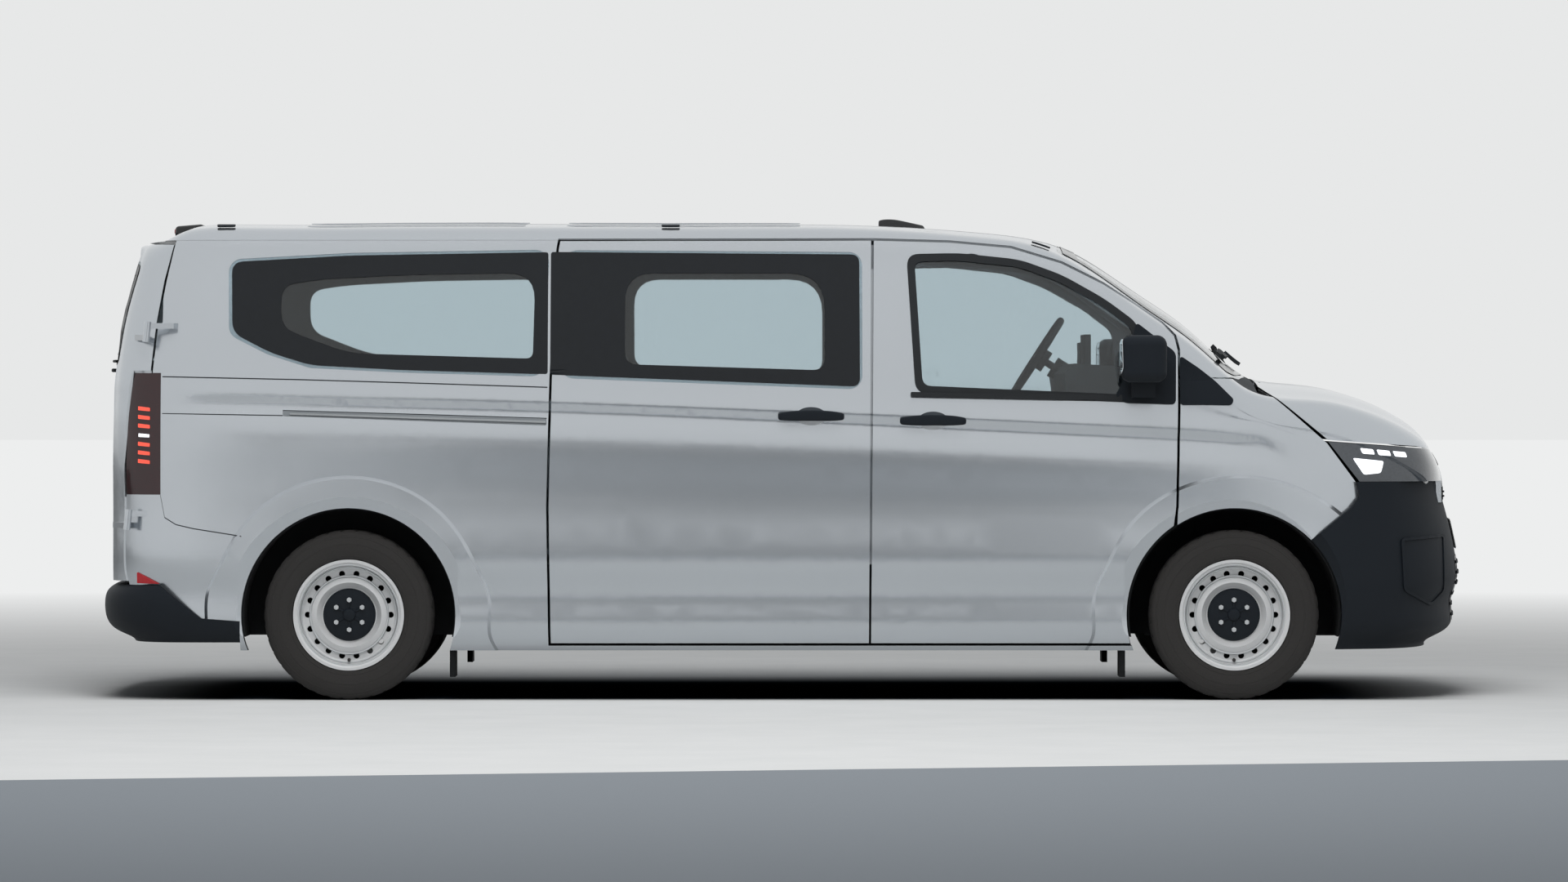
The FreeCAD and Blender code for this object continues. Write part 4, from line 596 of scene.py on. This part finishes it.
for vertex in tyre.data.vertices:
    radius = math.hypot(vertex.co.x, vertex.co.z)
    if radius < 0.3300:
        continue
    turn = math.atan2(vertex.co.z, vertex.co.x) / (2 * math.pi) * ROUND
    step = round(turn - vertex.co.y * 30) % 4
    outer = abs(vertex.co.y) > 0.0400
    if (outer and step == 0) or (not outer and abs(vertex.co.y) > 0.01 and step == 2):
        cut = (radius - 0.0045) / radius
        vertex.co.x *= cut
        vertex.co.z *= cut
bpy.ops.object.shade_smooth_by_angle(angle=math.radians(28))
on_wheels(tyre, "moulded_tyre", rubber, "tyre")

# Headlamps: a smoked clear cover over a dark housing, with three white bars above, a white blade and a lens
# behind it. The lit parts are clear guides backed by white plastic, laid where the cover's inner face carries them.


def lamp_trim(name, ring, node, lift, thickness, finish):
    """A thin lamp part laid on a lamp's side face, right and left."""
    side_trim(name, [ring], lift, thickness, finish, BODY, 0.03, nodes[node])


guide, tree, shader = new_finish("white_light_guide", "#F4F6F7", 0.15)
mottle(tree, shader, 5.0, "#F0F2F3", "#F8FAFA", 0.05, 0.05)
shader.inputs["Emission Color"].default_value = linear("#F4F8FF")
shader.inputs["Emission Strength"].default_value = 0.9
for i in range(3):
    start = 2.276 + 0.066 * i
    rise = -0.006 * i
    lamp_trim(f"lamp_bar_{i + 1}", rounded_ring([(start, 0.996 + rise), (start + 0.052, 0.991 + rise),
              (start + 0.060, 0.970 + rise), (start + 0.010, 0.974 + rise)], 0.006), "headlamps", 0.002, 0.0015,
              guide)
lamp_trim("lamp_blade", rounded_ring([(2.246, 0.957), (2.372, 0.944), (2.360, 0.897), (2.292, 0.890)], 0.010),
          "headlamps", 0.0015, 0.0015, guide)
lens, tree, shader = new_finish("lamp_lens_glass", "#8E9AA4", 0.05)
mottle(tree, shader, 12.0, "#84909A", "#9AA5AE", 0.02, 0.05)
shader.inputs["Coat Weight"].default_value = 1.0
for side, way in (("right", 1), ("left", -1)):
    for number, (x, y) in enumerate(((2.425, -0.868), (2.535, -0.760))):
        eye = turned("eye", [(0, 0.014), (0.018, 0.012), (0.030, 0.006), (0.034, 0.001), (0.037, 0.006),
                             (0.040, 0.006), (0.041, 0.0), (0.0, 0.0)], 40)
        bpy.ops.object.shade_smooth()
        heading = 32 if number == 0 else 62
        eye.data.transform(Matrix.Translation((x, y - 0.006, 0.925)) @ Matrix.Rotation(math.radians(heading), 4, "Z"))
        eye.data.transform(Matrix.Scale(way, 4, (0, 1, 0)))
        if way < 0:
            eye.data.flip_normals()
        eye.name = f"lamp_lens_{number + 1}_{side}"
        finish_piece(eye, lens, "body")

# Tail lamps: a tall dark red cover with six coral bars one above the other and a clear reversing bar among them.
coral, tree, shader = new_finish("coral_light_guide", "#F0604E", 0.2)
mottle(tree, shader, 5.0, "#E85846", "#F76C58", 0.05, 0.05)
shader.inputs["Emission Color"].default_value = linear("#FF5340")
shader.inputs["Emission Strength"].default_value = 0.5
for i, z in enumerate((1.151, 1.117, 1.083, 1.011, 0.977, 0.943)):
    lamp_trim(f"tail_bar_{i + 1}", rounded_ring([(-2.552, z + 0.010), (-2.504, z + 0.004), (-2.504, z - 0.010),
              (-2.552, z - 0.006)], 0.003), "tail_lamps", 0.0015, 0.0015, coral)
lamp_trim("reversing_bar", rounded_ring([(-2.550, 1.054), (-2.506, 1.050), (-2.506, 1.038), (-2.550, 1.040)], 0.003),
          "tail_lamps", 0.0015, 0.0015, guide)

# Corner reflectors: red prismatic plastic let into the lower rear corners above the bumper.
reflex = grained("red_reflector_plastic", "#C8202A", 0.25, grain=(4.0, "#B81A24", "#D82A34", 0.4, 0.3))
REFLECTOR = [(-2.556, 0.506), (-2.466, 0.460), (-2.556, 0.462)]
side_trim("corner_reflector", [rounded_ring(REFLECTOR, 0.004)], 0.003, 0.003, reflex, BODY, 0.03,
          nodes["side_right"])

# Nose: a painted panel between the lamps with a black louvred slot, and in the bumper a lower intake with slats,
# a blank plate on its holder, and pockets at the corners. All moulded plastic, clipped in from behind.
dress(paint, "grille")
gloss_black = grained("gloss_black_plastic", "#0E1012", 0.2, grain=(10.0, "#0C0E10", "#131517", 0.05, 0.05))
plate_finish = grained("blank_plate_white", "#D9DBD8", 0.45, grain=(15.0, "#D2D4D1", "#DFE1DE", 0.03, 0.05))


def stand_across(sheet, x):
    """Turns a sheet to face along the vehicle and stands it at a place along it."""
    sheet.data.transform(Matrix.Translation((x, 0, 0)) @ Matrix.Rotation(math.radians(90), 4, "Z"))


def end_trim(name, ring, node, front, lift, thickness, finish, body, grid=0.05):
    """A thin piece laid on the front or rear face from a (y, z) outline."""
    trim = flat_sheet(name, [ring], grid)
    stand_across(trim, AHEAD if front else -AHEAD)
    lay(trim, nodes[node], "-x" if front else "+x", lift, thickness)
    return finish_piece(trim, finish, body)


def oblong(y0, y1, z0, z1, radius):
    """A four-sided outline with rounded corners between two heights."""
    return rounded_ring([(y0, z0), (y1, z0), (y1, z1), (y0, z1)], radius)


end_trim("nose_slot", oblong(-0.545, 0.545, 0.786, 0.838, 0.012), "grille", True, 0.001, 0.001, gloss_black,
         "body")
for i, z in enumerate((0.800, 0.818)):
    end_trim(f"nose_slat_{i + 1}", oblong(-0.540, 0.540, z - 0.003, z + 0.003, 0.002), "grille", True, 0.004, 0.003,
             plastic, "body")
end_trim("nose_band", oblong(-0.560, 0.560, 0.925, 0.975, 0.012), "grille", True, 0.001, 0.001, gloss_black,
         "body")
end_trim("lower_intake", oblong(-0.46, 0.46, 0.30, 0.56, 0.03), "bumper_front", True, 0.001, 0.001, gloss_black,
         "body")
for i in range(6):
    z = 0.325 + 0.042 * i
    end_trim(f"intake_slat_{i + 1}", oblong(-0.45, 0.45, z - 0.006, z + 0.006, 0.004), "bumper_front", True, 0.004,
             0.003, plastic, "body")
end_trim("plate_holder_front", oblong(-0.27, 0.27, 0.585, 0.705, 0.008), "bumper_front", True, 0.004, 0.004,
         gloss_black, "body")
end_trim("blank_plate_front", oblong(-0.26, 0.26, 0.590, 0.700, 0.006), "bumper_front", True, 0.007, 0.003,
         plate_finish, "body")
pocket_ring = rounded_ring([(2.440, 0.640), (2.640, 0.652), (2.640, 0.420), (2.575, 0.365), (2.452, 0.430)], 0.02)
side_trim("corner_pocket", [pocket_ring, offset_ring(pocket_ring, 0.012)], 0.004, 0.004, plastic, BODY,
          0.04, nodes["bumper_front"])

# Rear doors: a handle on the right leaf, a blank plate under its lamp bar on the left leaf, and a wiper on each pane.
RIGHT_LEAF = "rear_door_right"
LEFT_LEAF = "rear_door_left"


def rounded_block(name, low, high, radius, finish, body, taper=0.0):
    """A moulded block between two corners with rounded edges, its outer end a little smaller."""
    centre = [(a + b) / 2 for a, b in zip(low, high)]
    made = block(name, centre, [b - a for a, b in zip(low, high)])
    sign = -1 if centre[0] < 0 else 1
    for vertex in made.data.vertices:
        if (vertex.co.x - centre[0]) * sign > 0:
            vertex.co.y = centre[1] + (vertex.co.y - centre[1]) * (1 - taper)
            vertex.co.z = centre[2] + (vertex.co.z - centre[2]) * (1 - taper)
    soften(made, radius, 3)
    bpy.ops.object.shade_smooth_by_angle(angle=math.radians(40))
    return finish_piece(made, finish, body)


rounded_block("rear_handle", (-2.682, -0.170, 1.050), (-2.664, -0.040, 1.100), 0.006, plastic, RIGHT_LEAF,
              0.15)
rounded_block("rear_handle_grip", (-2.698, -0.160, 1.064), (-2.680, -0.060, 1.082), 0.006, plastic, RIGHT_LEAF,
              0.2)
rounded_block("plate_lamp_bar", (-2.692, 0.060, 0.825), (-2.664, 0.640, 0.870), 0.008, plastic, LEFT_LEAF,
              0.1)
end_trim("blank_plate_rear", oblong(0.090, 0.610, 0.700, 0.812, 0.006), "door_rear_left", False, 0.004, 0.003,
         plate_finish, LEFT_LEAF)
for side, way, leaf in (("right", -1, RIGHT_LEAF), ("left", 1, LEFT_LEAF)):
    rear_edge = flat_sheet("rear_pane_border_" + side, [
        rounded_ring([(0.110, 1.321), (0.776, 1.321), (0.736, 1.726), (0.110, 1.726)], 0.04),
        rounded_ring([(0.165, 1.380), (0.715, 1.380), (0.680, 1.680), (0.165, 1.680)], 0.06)], 0.05)
    stand_across(rear_edge, -AHEAD)
    if way < 0:
        rear_edge.data.transform(Matrix.Scale(-1, 4, (0, 1, 0)))
    lay(rear_edge, nodes["glass_rear_" + side], "+x", 0.0012, 0.001)
    finish_piece(rear_edge, enamel_black, leaf)
    low, high = sorted((way * 0.20, way * 0.26))
    rounded_block("rear_wiper_pivot_" + side, (-2.690, low, 1.275), (-2.655, high, 1.325), 0.012, plastic, leaf,
                  0.3)
    low, high = sorted((way * 0.225, way * 0.640))
    rounded_block("rear_wiper_arm_" + side, (-2.688, low, 1.296), (-2.676, high, 1.312), 0.004, plastic, leaf,
                  0.2)
    low, high = sorted((way * 0.300, way * 0.720))
    rounded_block("rear_wiper_blade_" + side, (-2.676, low, 1.334), (-2.660, high, 1.346), 0.003, seal_rubber, leaf,
                  0.2)

# Roof: pressed swages that stiffen the sheet, a black shark-fin aerial over the cab, capped rack points and a high
# brake lamp in its own housing over the rear doors.


def roof_trim(name, rings, target, lift, thickness, finish, grid=0.06):
    """A thin piece laid on an upper face from (x, y) outlines."""
    trim = flat_sheet(name, rings, grid)
    trim.data.transform(Matrix.Translation((0, 0, ABOVE)) @ Matrix.Rotation(math.radians(-90), 4, "X"))
    lay(trim, target, "-z", lift, thickness)
    return finish_piece(trim, finish, "body")


SWAGE = 0.045
number = 0
for y in (-0.66, -0.40, -0.13, 0.13, 0.40, 0.66):
    for x0, x1 in ((-1.90, -1.03), (-0.865, 0.065)):
        number += 1
        rib = roof_trim(f"roof_swage_{number}", [oblong(x0, x1, y - SWAGE, y + SWAGE, SWAGE)], nodes["roof"], 0.003,
                        0.003, paint)
        soften(rib, 0.0025, 2)
        bpy.ops.object.shade_smooth_by_angle(angle=math.radians(40))
for x in (-2.215, -0.45, 1.02):
    for side, way in (("right", -1), ("left", 1)):
        y = 0.78 * way
        roof_trim(f"rack_cap_{side}_{int(abs(x) * 100)}", [oblong(x - 0.036, x + 0.036, y - 0.018, y + 0.018, 0.012)],
                  nodes["roof"], 0.006, 0.006, plastic, 0.03)
fin = block("roof_aerial", (0.482, 0, 1.898), (0.195, 0.070, 0.050))
cut_across(fin, (0.41, 0.455, 0.50, 0.545))
for vertex in fin.data.vertices:
    if vertex.co.z > 1.9:
        ahead = (vertex.co.x - 0.385) / 0.195
        vertex.co.z = 1.922 - 0.026 * max(0, ahead - 0.35) / 0.65 - 0.006 * (ahead < 0.05)
        vertex.co.y *= 0.34
        vertex.co.x -= 0.012 * ahead
soften(fin, 0.006, 2, 2)
bpy.ops.object.shade_smooth()
finish_piece(fin, gloss_black, "body")
rounded_block("high_brake_housing", (-2.470, -0.200, 1.832), (-2.350, 0.200, 1.898), 0.014, gloss_black, "body",
              0.25)
rounded_block("high_brake_lens", (-2.474, -0.140, 1.858), (-2.455, 0.140, 1.880), 0.004, reflex, "body",
              0.1)

# Windscreen: a black enamel border, and two wipers parked along its base with their arms on the scuttle.
roof_trim("screen_border", [
    rounded_ring([(1.856, 0.0), (1.842, -0.36), (1.808, -0.62), (1.794, -0.695), (1.755, -0.815), (1.112, -0.675),
                  (1.112, -0.40), (1.122, 0.0), (1.112, 0.40), (1.112, 0.675), (1.755, 0.815), (1.794, 0.695),
                  (1.808, 0.62), (1.842, 0.36)], 0.02),
    rounded_ring([(1.800, 0.0), (1.788, -0.36), (1.762, -0.58), (1.705, -0.735), (1.175, -0.610), (1.168, -0.40),
                  (1.176, 0.0), (1.168, 0.40), (1.175, 0.610), (1.705, 0.735), (1.762, 0.58), (1.788, 0.36)], 0.03)],
    nodes["windscreen"], 0.0018, 0.001, enamel_black)
scuttle_skin = outer_skin("scuttle_skin", "windscreen", "cowl", "bonnet")
for name, y0, y1 in (("right", -0.64, -0.06), ("left", 0.00, 0.62)):
    middle = (y0 + y1) / 2
    blade = [(1.752, y0), (1.780, middle), (1.772, y1), (1.756, y1), (1.766, middle), (1.738, y0)]
    roof_trim("wiper_blade_" + name, [blade], scuttle_skin, 0.020, 0.016, seal_rubber, 0.05)
    arm = [(1.784, middle - 0.01), (1.846, y1 - 0.03), (1.850, y1), (1.832, y1), (1.770, middle + 0.01)]
    roof_trim("wiper_arm_" + name, [arm], scuttle_skin, 0.034, 0.014, plastic, 0.05)
bpy.data.objects.remove(scuttle_skin)

# Door mirrors: a silvered pane in each housing, facing back.
silver = grained("silvered_mirror_glass", "#C9CDD0", 0.03, 1.0, grain=(50.0, "#C5C9CC", "#CDD1D4", 0.01, 0.02))
for side, way in (("right", -1), ("left", 1)):
    corner = [(way * 1.045, 1.275), (way * 1.215, 1.290), (way * 1.210, 1.425), (way * 1.045, 1.425)]
    pane = flat_sheet("mirror_pane_" + side, [rounded_ring(corner, 0.03)], 0.06)
    stand_across(pane, -AHEAD)
    lay(pane, nodes["mirror_" + side], "+x", 0.003, 0.002)
    finish_piece(pane, silver, "front_door_" + side)

# Seats: two rows of foam cushions under woven cloth on dark moulded bases: a driver's seat and a double seat in
# front, a bench for three behind. Each pad is blown up from a slightly smaller form, then its sewn channels are
# pulled in. One base, one back and one head pad are shaped and then copied to size.


def blown_pad(name, size, edge, voxel, cap, channels, depth):
    """A pad round the origin, swollen by air, with sewn channels across it at the given shares of its width."""
    pad = block(name, (0, 0, 0), [length - 2 * cap * 0.6 for length in size])
    round_off = pad.modifiers.new("edge", "BEVEL")
    round_off.width = edge
    round_off.segments = 4
    tile = pad.modifiers.new("grid", "REMESH")
    tile.mode = "VOXEL"
    tile.voxel_size = voxel
    apply_all(pad)
    start = [vertex.co.copy() for vertex in pad.data.vertices]
    air = pad.modifiers.new("air", "CLOTH")
    air.settings.quality = 4
    air.settings.mass = 0.3
    air.settings.use_pressure = True
    air.settings.uniform_pressure_force = 4
    air.settings.effector_weights.gravity = 0
    air.point_cache.frame_start = 1
    air.point_cache.frame_end = 20
    for frame_number in range(1, 21):
        bpy.context.scene.frame_set(frame_number)
    apply_all(pad)
    bpy.context.scene.frame_set(1)
    for vertex, first in zip(pad.data.vertices, start):
        shift = vertex.co - first
        if shift.length > cap:
            vertex.co = first + shift.normalized() * cap
    for vertex in pad.data.vertices:
        pull = 0.0
        for share in channels:
            gap = vertex.co.y - share * size[1]
            pull = max(pull, math.exp(-(gap / 0.007) ** 2))
        if abs(vertex.co.z) > size[2] * 0.25 and abs(vertex.co.x) < size[0] * 0.46:
            vertex.co.z -= math.copysign(depth * pull, vertex.co.z)
    bpy.ops.object.shade_smooth()
    return pad


def fitted(pad, name, low, high, lean=0.0):
    """A copy of a pad scaled to fill a box, its top leaning back by a share of its height."""
    reach = [max(abs(vertex.co[i]) for vertex in pad.data.vertices) for i in range(3)]
    half = [(b - a) / 2 for a, b in zip(low, high)]
    centre = Vector([(a + b) / 2 for a, b in zip(low, high)])
    grow = Matrix.Diagonal([half[i] / reach[i] for i in range(3)] + [1])
    slope = Matrix.Identity(4)
    slope[0][2] = -lean
    twin = copied(pad, name, Matrix.Translation(centre) @ slope @ grow)
    for polygon in twin.data.polygons:
        polygon.use_smooth = True
    finish_piece(twin, cloth, "body")
    return twin


place = add_node(cloth.node_tree, "ShaderNodeTexCoord")
threads = []
for way in ("X", "Z"):
    threads.append(add_node(cloth.node_tree, "ShaderNodeTexWave", {"wave_type": "BANDS", "bands_direction": way},
                            {"Vector": (place, "Object"), "Scale": 1000 / 4.0 / 20, "Distortion": 0.6}))
weave = add_node(cloth.node_tree, "ShaderNodeMath", {"operation": "MULTIPLY"},
                 {0: (threads[0], "Fac"), 1: (threads[1], "Fac")})
raised = add_node(cloth.node_tree, "ShaderNodeBump", {}, {"Strength": 0.35, "Distance": 0.0006,
                                                          "Height": (weave, "Value")})
cloth_shader = cloth.node_tree.nodes["Principled BSDF"]
cloth.node_tree.links.new(cloth_shader.inputs["Normal"].links[0].from_node.outputs["Normal"], raised.inputs["Normal"])
cloth.node_tree.links.new(raised.outputs["Normal"], cloth_shader.inputs["Normal"])

base_pad = blown_pad("base_pad", (0.410, 0.480, 0.130), 0.026, 0.009, 0.014, (-0.28, 0.28), 0.006)
back_pad = blown_pad("back_pad", (0.115, 0.480, 0.525), 0.026, 0.009, 0.014, (), 0.006)
for vertex in back_pad.data.vertices:
    if abs(vertex.co.z) < 0.235 and vertex.co.x > 0.02:
        pull = math.exp(-((abs(vertex.co.y) - 0.135) / 0.007) ** 2)
        if abs(vertex.co.y) < 0.135:
            pull = max(pull, math.exp(-((vertex.co.z - 0.06) / 0.007) ** 2))
        vertex.co.x -= 0.006 * pull
head_pad = blown_pad("head_pad", (0.095, 0.250, 0.155), 0.024, 0.007, 0.010, (), 0.0)
front_pads = []
HEAD_HALF = 0.124
for name, y0, y1, middle in (("driver", 0.152, 0.648, 0.400), ("middle", -0.368, 0.058, -0.160),
                             ("door", -0.798, -0.374, -0.581)):
    front_pads.append(fitted(base_pad, f"seat_base_{name}", (0.572, y0, 0.792), (0.978, y1, 0.920)))
    front_pads.append(fitted(back_pad, f"seat_back_{name}", (0.387, y0 + 0.004, 0.907), (0.503, y1 - 0.004, 1.430),
                             0.19))
    front_pads.append(fitted(head_pad, f"seat_head_{name}", (0.347, middle - HEAD_HALF, 1.432),
                             (0.439, middle + HEAD_HALF, 1.588)))
for pad in front_pads:
    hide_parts("seats_front")
bench_pads = []
for name, y0, y1 in (("right", -0.780, -0.264), ("centre", -0.258, 0.258), ("left", 0.264, 0.780)):
    bench_pads.append(fitted(base_pad, f"bench_base_{name}", (-0.578, y0, 0.762), (-0.132, y1, 0.880)))
    bench_pads.append(fitted(back_pad, f"bench_back_{name}", (-0.737, y0 + 0.003, 0.887),
                             (-0.621, y1 - 0.003, 1.388), 0.13))
    middle = (y0 + y1) / 2
    bench_pads.append(fitted(head_pad, f"bench_head_{name}", (-0.753, middle - HEAD_HALF, 1.392),
                             (-0.662, middle + HEAD_HALF, 1.544)))
for pad in bench_pads:
    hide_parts("seat_bench")
for pad in (base_pad, back_pad, head_pad):
    bpy.data.objects.remove(pad)

# Seat bases: dark moulded skirts over steel frames bolted to the floor, one for each seat and two for the bench.
SKIRTS = (("driver_skirt", 0.600, 0.950, 0.190, 0.610, 0.530, 0.790, "seats_front"),
          ("double_skirt", 0.600, 0.950, -0.770, 0.020, 0.530, 0.790, "seats_front"),
          ("bench_skirt_right", -0.540, -0.200, -0.700, -0.150, 0.530, 0.758, "seat_bench"),
          ("bench_skirt_left", -0.540, -0.200, 0.150, 0.700, 0.530, 0.758, "seat_bench"))
for name, x0, x1, y0, y1, z0, z1, node in SKIRTS:
    skirt = block(name, ((x0 + x1) / 2, (y0 + y1) / 2, (z0 + z1) / 2), (x1 - x0, y1 - y0, z1 - z0))
    bpy.ops.object.mode_set(mode="EDIT")
    bpy.ops.mesh.select_all(action="DESELECT")
    bpy.ops.object.mode_set(mode="OBJECT")
    for face in skirt.data.polygons:
        face.select = abs(face.normal.z) < 0.5
    bpy.ops.object.mode_set(mode="EDIT")
    bpy.ops.mesh.select_mode(type="FACE")
    bpy.ops.mesh.inset(thickness=0.03, depth=-0.008, use_individual=True)
    bpy.ops.object.mode_set(mode="OBJECT")
    soften(skirt, 0.006, 3)
    bpy.ops.object.shade_smooth_by_angle(angle=math.radians(40))
    finish_piece(skirt, trim, "body")
    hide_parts(node)

# Studio: a long lens square to the right side, a pale floor, and soft lamps.
EYE = Vector((0.0, -31.0, 1.21))
LOOK = Vector((0.0, -1.0, 1.024))


def aimed(thing, place, target):
    """Puts a camera or lamp in its place, turned toward a target."""
    bpy.context.scene.collection.objects.link(thing)
    thing.location = place
    thing.rotation_mode = "QUATERNION"
    thing.rotation_quaternion = (Vector(target) - Vector(place)).to_track_quat("-Z", "Y")


def calc(tree, operation, *values):
    """One step of arithmetic in a node tree, as a link to its result."""
    return add_node(tree, "ShaderNodeMath", {"operation": operation}, dict(enumerate(values))), "Value"


def ramp(tree, value, start, end):
    """A smooth rise from 0 to 1 between two values, as a link to its result."""
    limits = {"Value": value, "From Min": start, "From Max": end}
    return add_node(tree, "ShaderNodeMapRange", {"interpolation_type": "SMOOTHSTEP"}, limits), "Result"


camera_data = bpy.data.cameras.new("camera")
camera_data.sensor_width = 36
camera_data.lens = 174.6
camera_data.clip_end = 200
camera = bpy.data.objects.new("camera", camera_data)
aimed(camera, EYE, LOOK)
bpy.context.scene.camera = camera

bpy.ops.object.select_all(action="DESELECT")
bpy.ops.mesh.primitive_plane_add(size=3000, location=(0, 0, 0))
ground = bpy.context.object
ground.name = "studio_floor"
floor_finish, tree, shader = new_finish("pale_concrete_floor", "#E2E4E4", 0.8)
shader.inputs["Specular IOR Level"].default_value = 0.0
place = mottle(tree, shader, 400.0, "#DCDEDE", "#E8E9E9", 0.1, 0.5)
tint = shader.inputs["Base Color"].links[0].from_node
side = add_node(tree, "ShaderNodeSeparateXYZ", {}, {"Vector": (place, "Object")})
length = calc(tree, "ABSOLUTE", (side, "X"))
# Nearer the camera the floor is a darker band, its edge a little slanted.
BAND_EDGE = -6.55
BAND_SLANT = -0.26
near = calc(tree, "LESS_THAN", calc(tree, "MULTIPLY_ADD", (side, "X"), BAND_SLANT, (side, "Y")), BAND_EDGE)
band = add_node(tree, "ShaderNodeMix", {"data_type": "RGBA"}, {0: near, 6: (tint, 2), 7: linear("#949AA0")})
# Under the vehicle a painted shadow darkens the floor, fading out past the bumpers, short of the right sills and
# beyond the left ones.
painted_shadow_mask = 1.0
for distance, outer, inner in ((length, 2.85, 2.2), ((side, "Y"), -1.05, -0.8), ((side, "Y"), 2.0, 0.8)):
    painted_shadow_mask = calc(tree, "MULTIPLY", painted_shadow_mask, ramp(tree, distance, outer, inner))
under = add_node(tree, "ShaderNodeMix", {"data_type": "RGBA"}, {0: painted_shadow_mask, 6: (band, 2), 7: linear("#141A20")})
tree.links.new(under.outputs[2], shader.inputs["Base Color"])
# Far off it fades into the pale backdrop. Its image in the paint is pale too, save for a darker middle.
away = add_node(tree, "ShaderNodeVectorMath", {"operation": "LENGTH"}, {0: (place, "Object")})
beyond = add_node(tree, "ShaderNodeMapRange", {}, {"Value": (away, "Value"), "From Min": 4.0, "From Max": 16.0})
far = add_node(tree, "ShaderNodeMath", {"operation": "SUBTRACT", "use_clamp": True}, {0: (beyond, "Result"), 1: near})
rays = add_node(tree, "ShaderNodeLightPath")
hazy = calc(tree, "MULTIPLY", (far, "Value"), (rays, "Is Camera Ray"))
open_side = calc(tree, "MULTIPLY", ramp(tree, (side, "Y"), -5.5, -9.0), ramp(tree, length, 1.6, 3.4))
misty = calc(tree, "MAXIMUM", hazy, calc(tree, "MULTIPLY", open_side, (rays, "Is Glossy Ray")))
haze = add_node(tree, "ShaderNodeEmission", {}, {"Color": linear("#EDEEEE"), "Strength": 1.0})
mist = add_node(tree, "ShaderNodeMixShader", {}, {0: misty, 1: (shader, "BSDF"), 2: (haze, "Emission")})
tree.links.new(mist.outputs[0], tree.nodes["Material Output"].inputs["Surface"])
ground.data.materials.append(floor_finish)

# Air: a pale backdrop for the camera and through glass, a low dark wall across the middle for the paint's gloss,
# and a weak even light on everything.
world = bpy.data.worlds.new("studio_air")
bpy.context.scene.world = world
world.use_nodes = True
air = world.node_tree
for old in list(air.nodes):
    air.nodes.remove(old)
rays = add_node(air, "ShaderNodeLightPath")
seen = add_node(air, "ShaderNodeBackground", {}, {"Color": linear("#E7E8E8"), "Strength": 1.0})
toward = add_node(air, "ShaderNodeTexCoord")
height = add_node(air, "ShaderNodeSeparateXYZ", {}, {"Vector": (toward, "Generated")})
bright = calc(air, "MAXIMUM", ramp(air, (height, "Z"), 0.05, 0.09),
              ramp(air, calc(air, "ABSOLUTE", (height, "X")), 0.04, 0.09))
wall = add_node(air, "ShaderNodeMix", {"data_type": "RGBA"}, {0: bright, 6: linear("#2A2F34"), 7: linear("#EDEEEE")})
mirror = add_node(air, "ShaderNodeBackground", {}, {"Color": (wall, 2), "Strength": 1.0})
lit = add_node(air, "ShaderNodeBackground", {}, {"Color": linear("#DDE1E5"), "Strength": 0.14})
shown = calc(air, "MAXIMUM", (rays, "Is Camera Ray"), (rays, "Is Transmission Ray"))
blend = add_node(air, "ShaderNodeMixShader", {},
                 {0: (rays, "Is Glossy Ray"), 1: (lit, "Background"), 2: (mirror, "Background")})
whole = add_node(air, "ShaderNodeMixShader", {}, {0: shown, 1: (blend, "Shader"), 2: (seen, "Background")})
add_node(air, "ShaderNodeOutputWorld", {}, {"Surface": (whole, "Shader")})

for name, place, aim, size, power in (
        ("top_softbox", (0, -4, 9), (0, 0, 0.8), 7, 300),
        ("side_softbox", (-1, -10, 13), (0, 0, 1.0), 7, 1150),
        ("front_softbox", (13, -6, 5), (1, 0, 1.0), 6, 200),
        ("far_softbox", (-2, 13, 6), (0, 0, 1.0), 8, 90)):
    lamp_data = bpy.data.lights.new(name, "AREA")
    lamp_data.size = size
    lamp_data.energy = power
    lamp = bpy.data.objects.new(name, lamp_data)
    lamp.visible_glossy = False
    aimed(lamp, place, aim)
bpy.context.scene.view_settings.view_transform = "Standard"
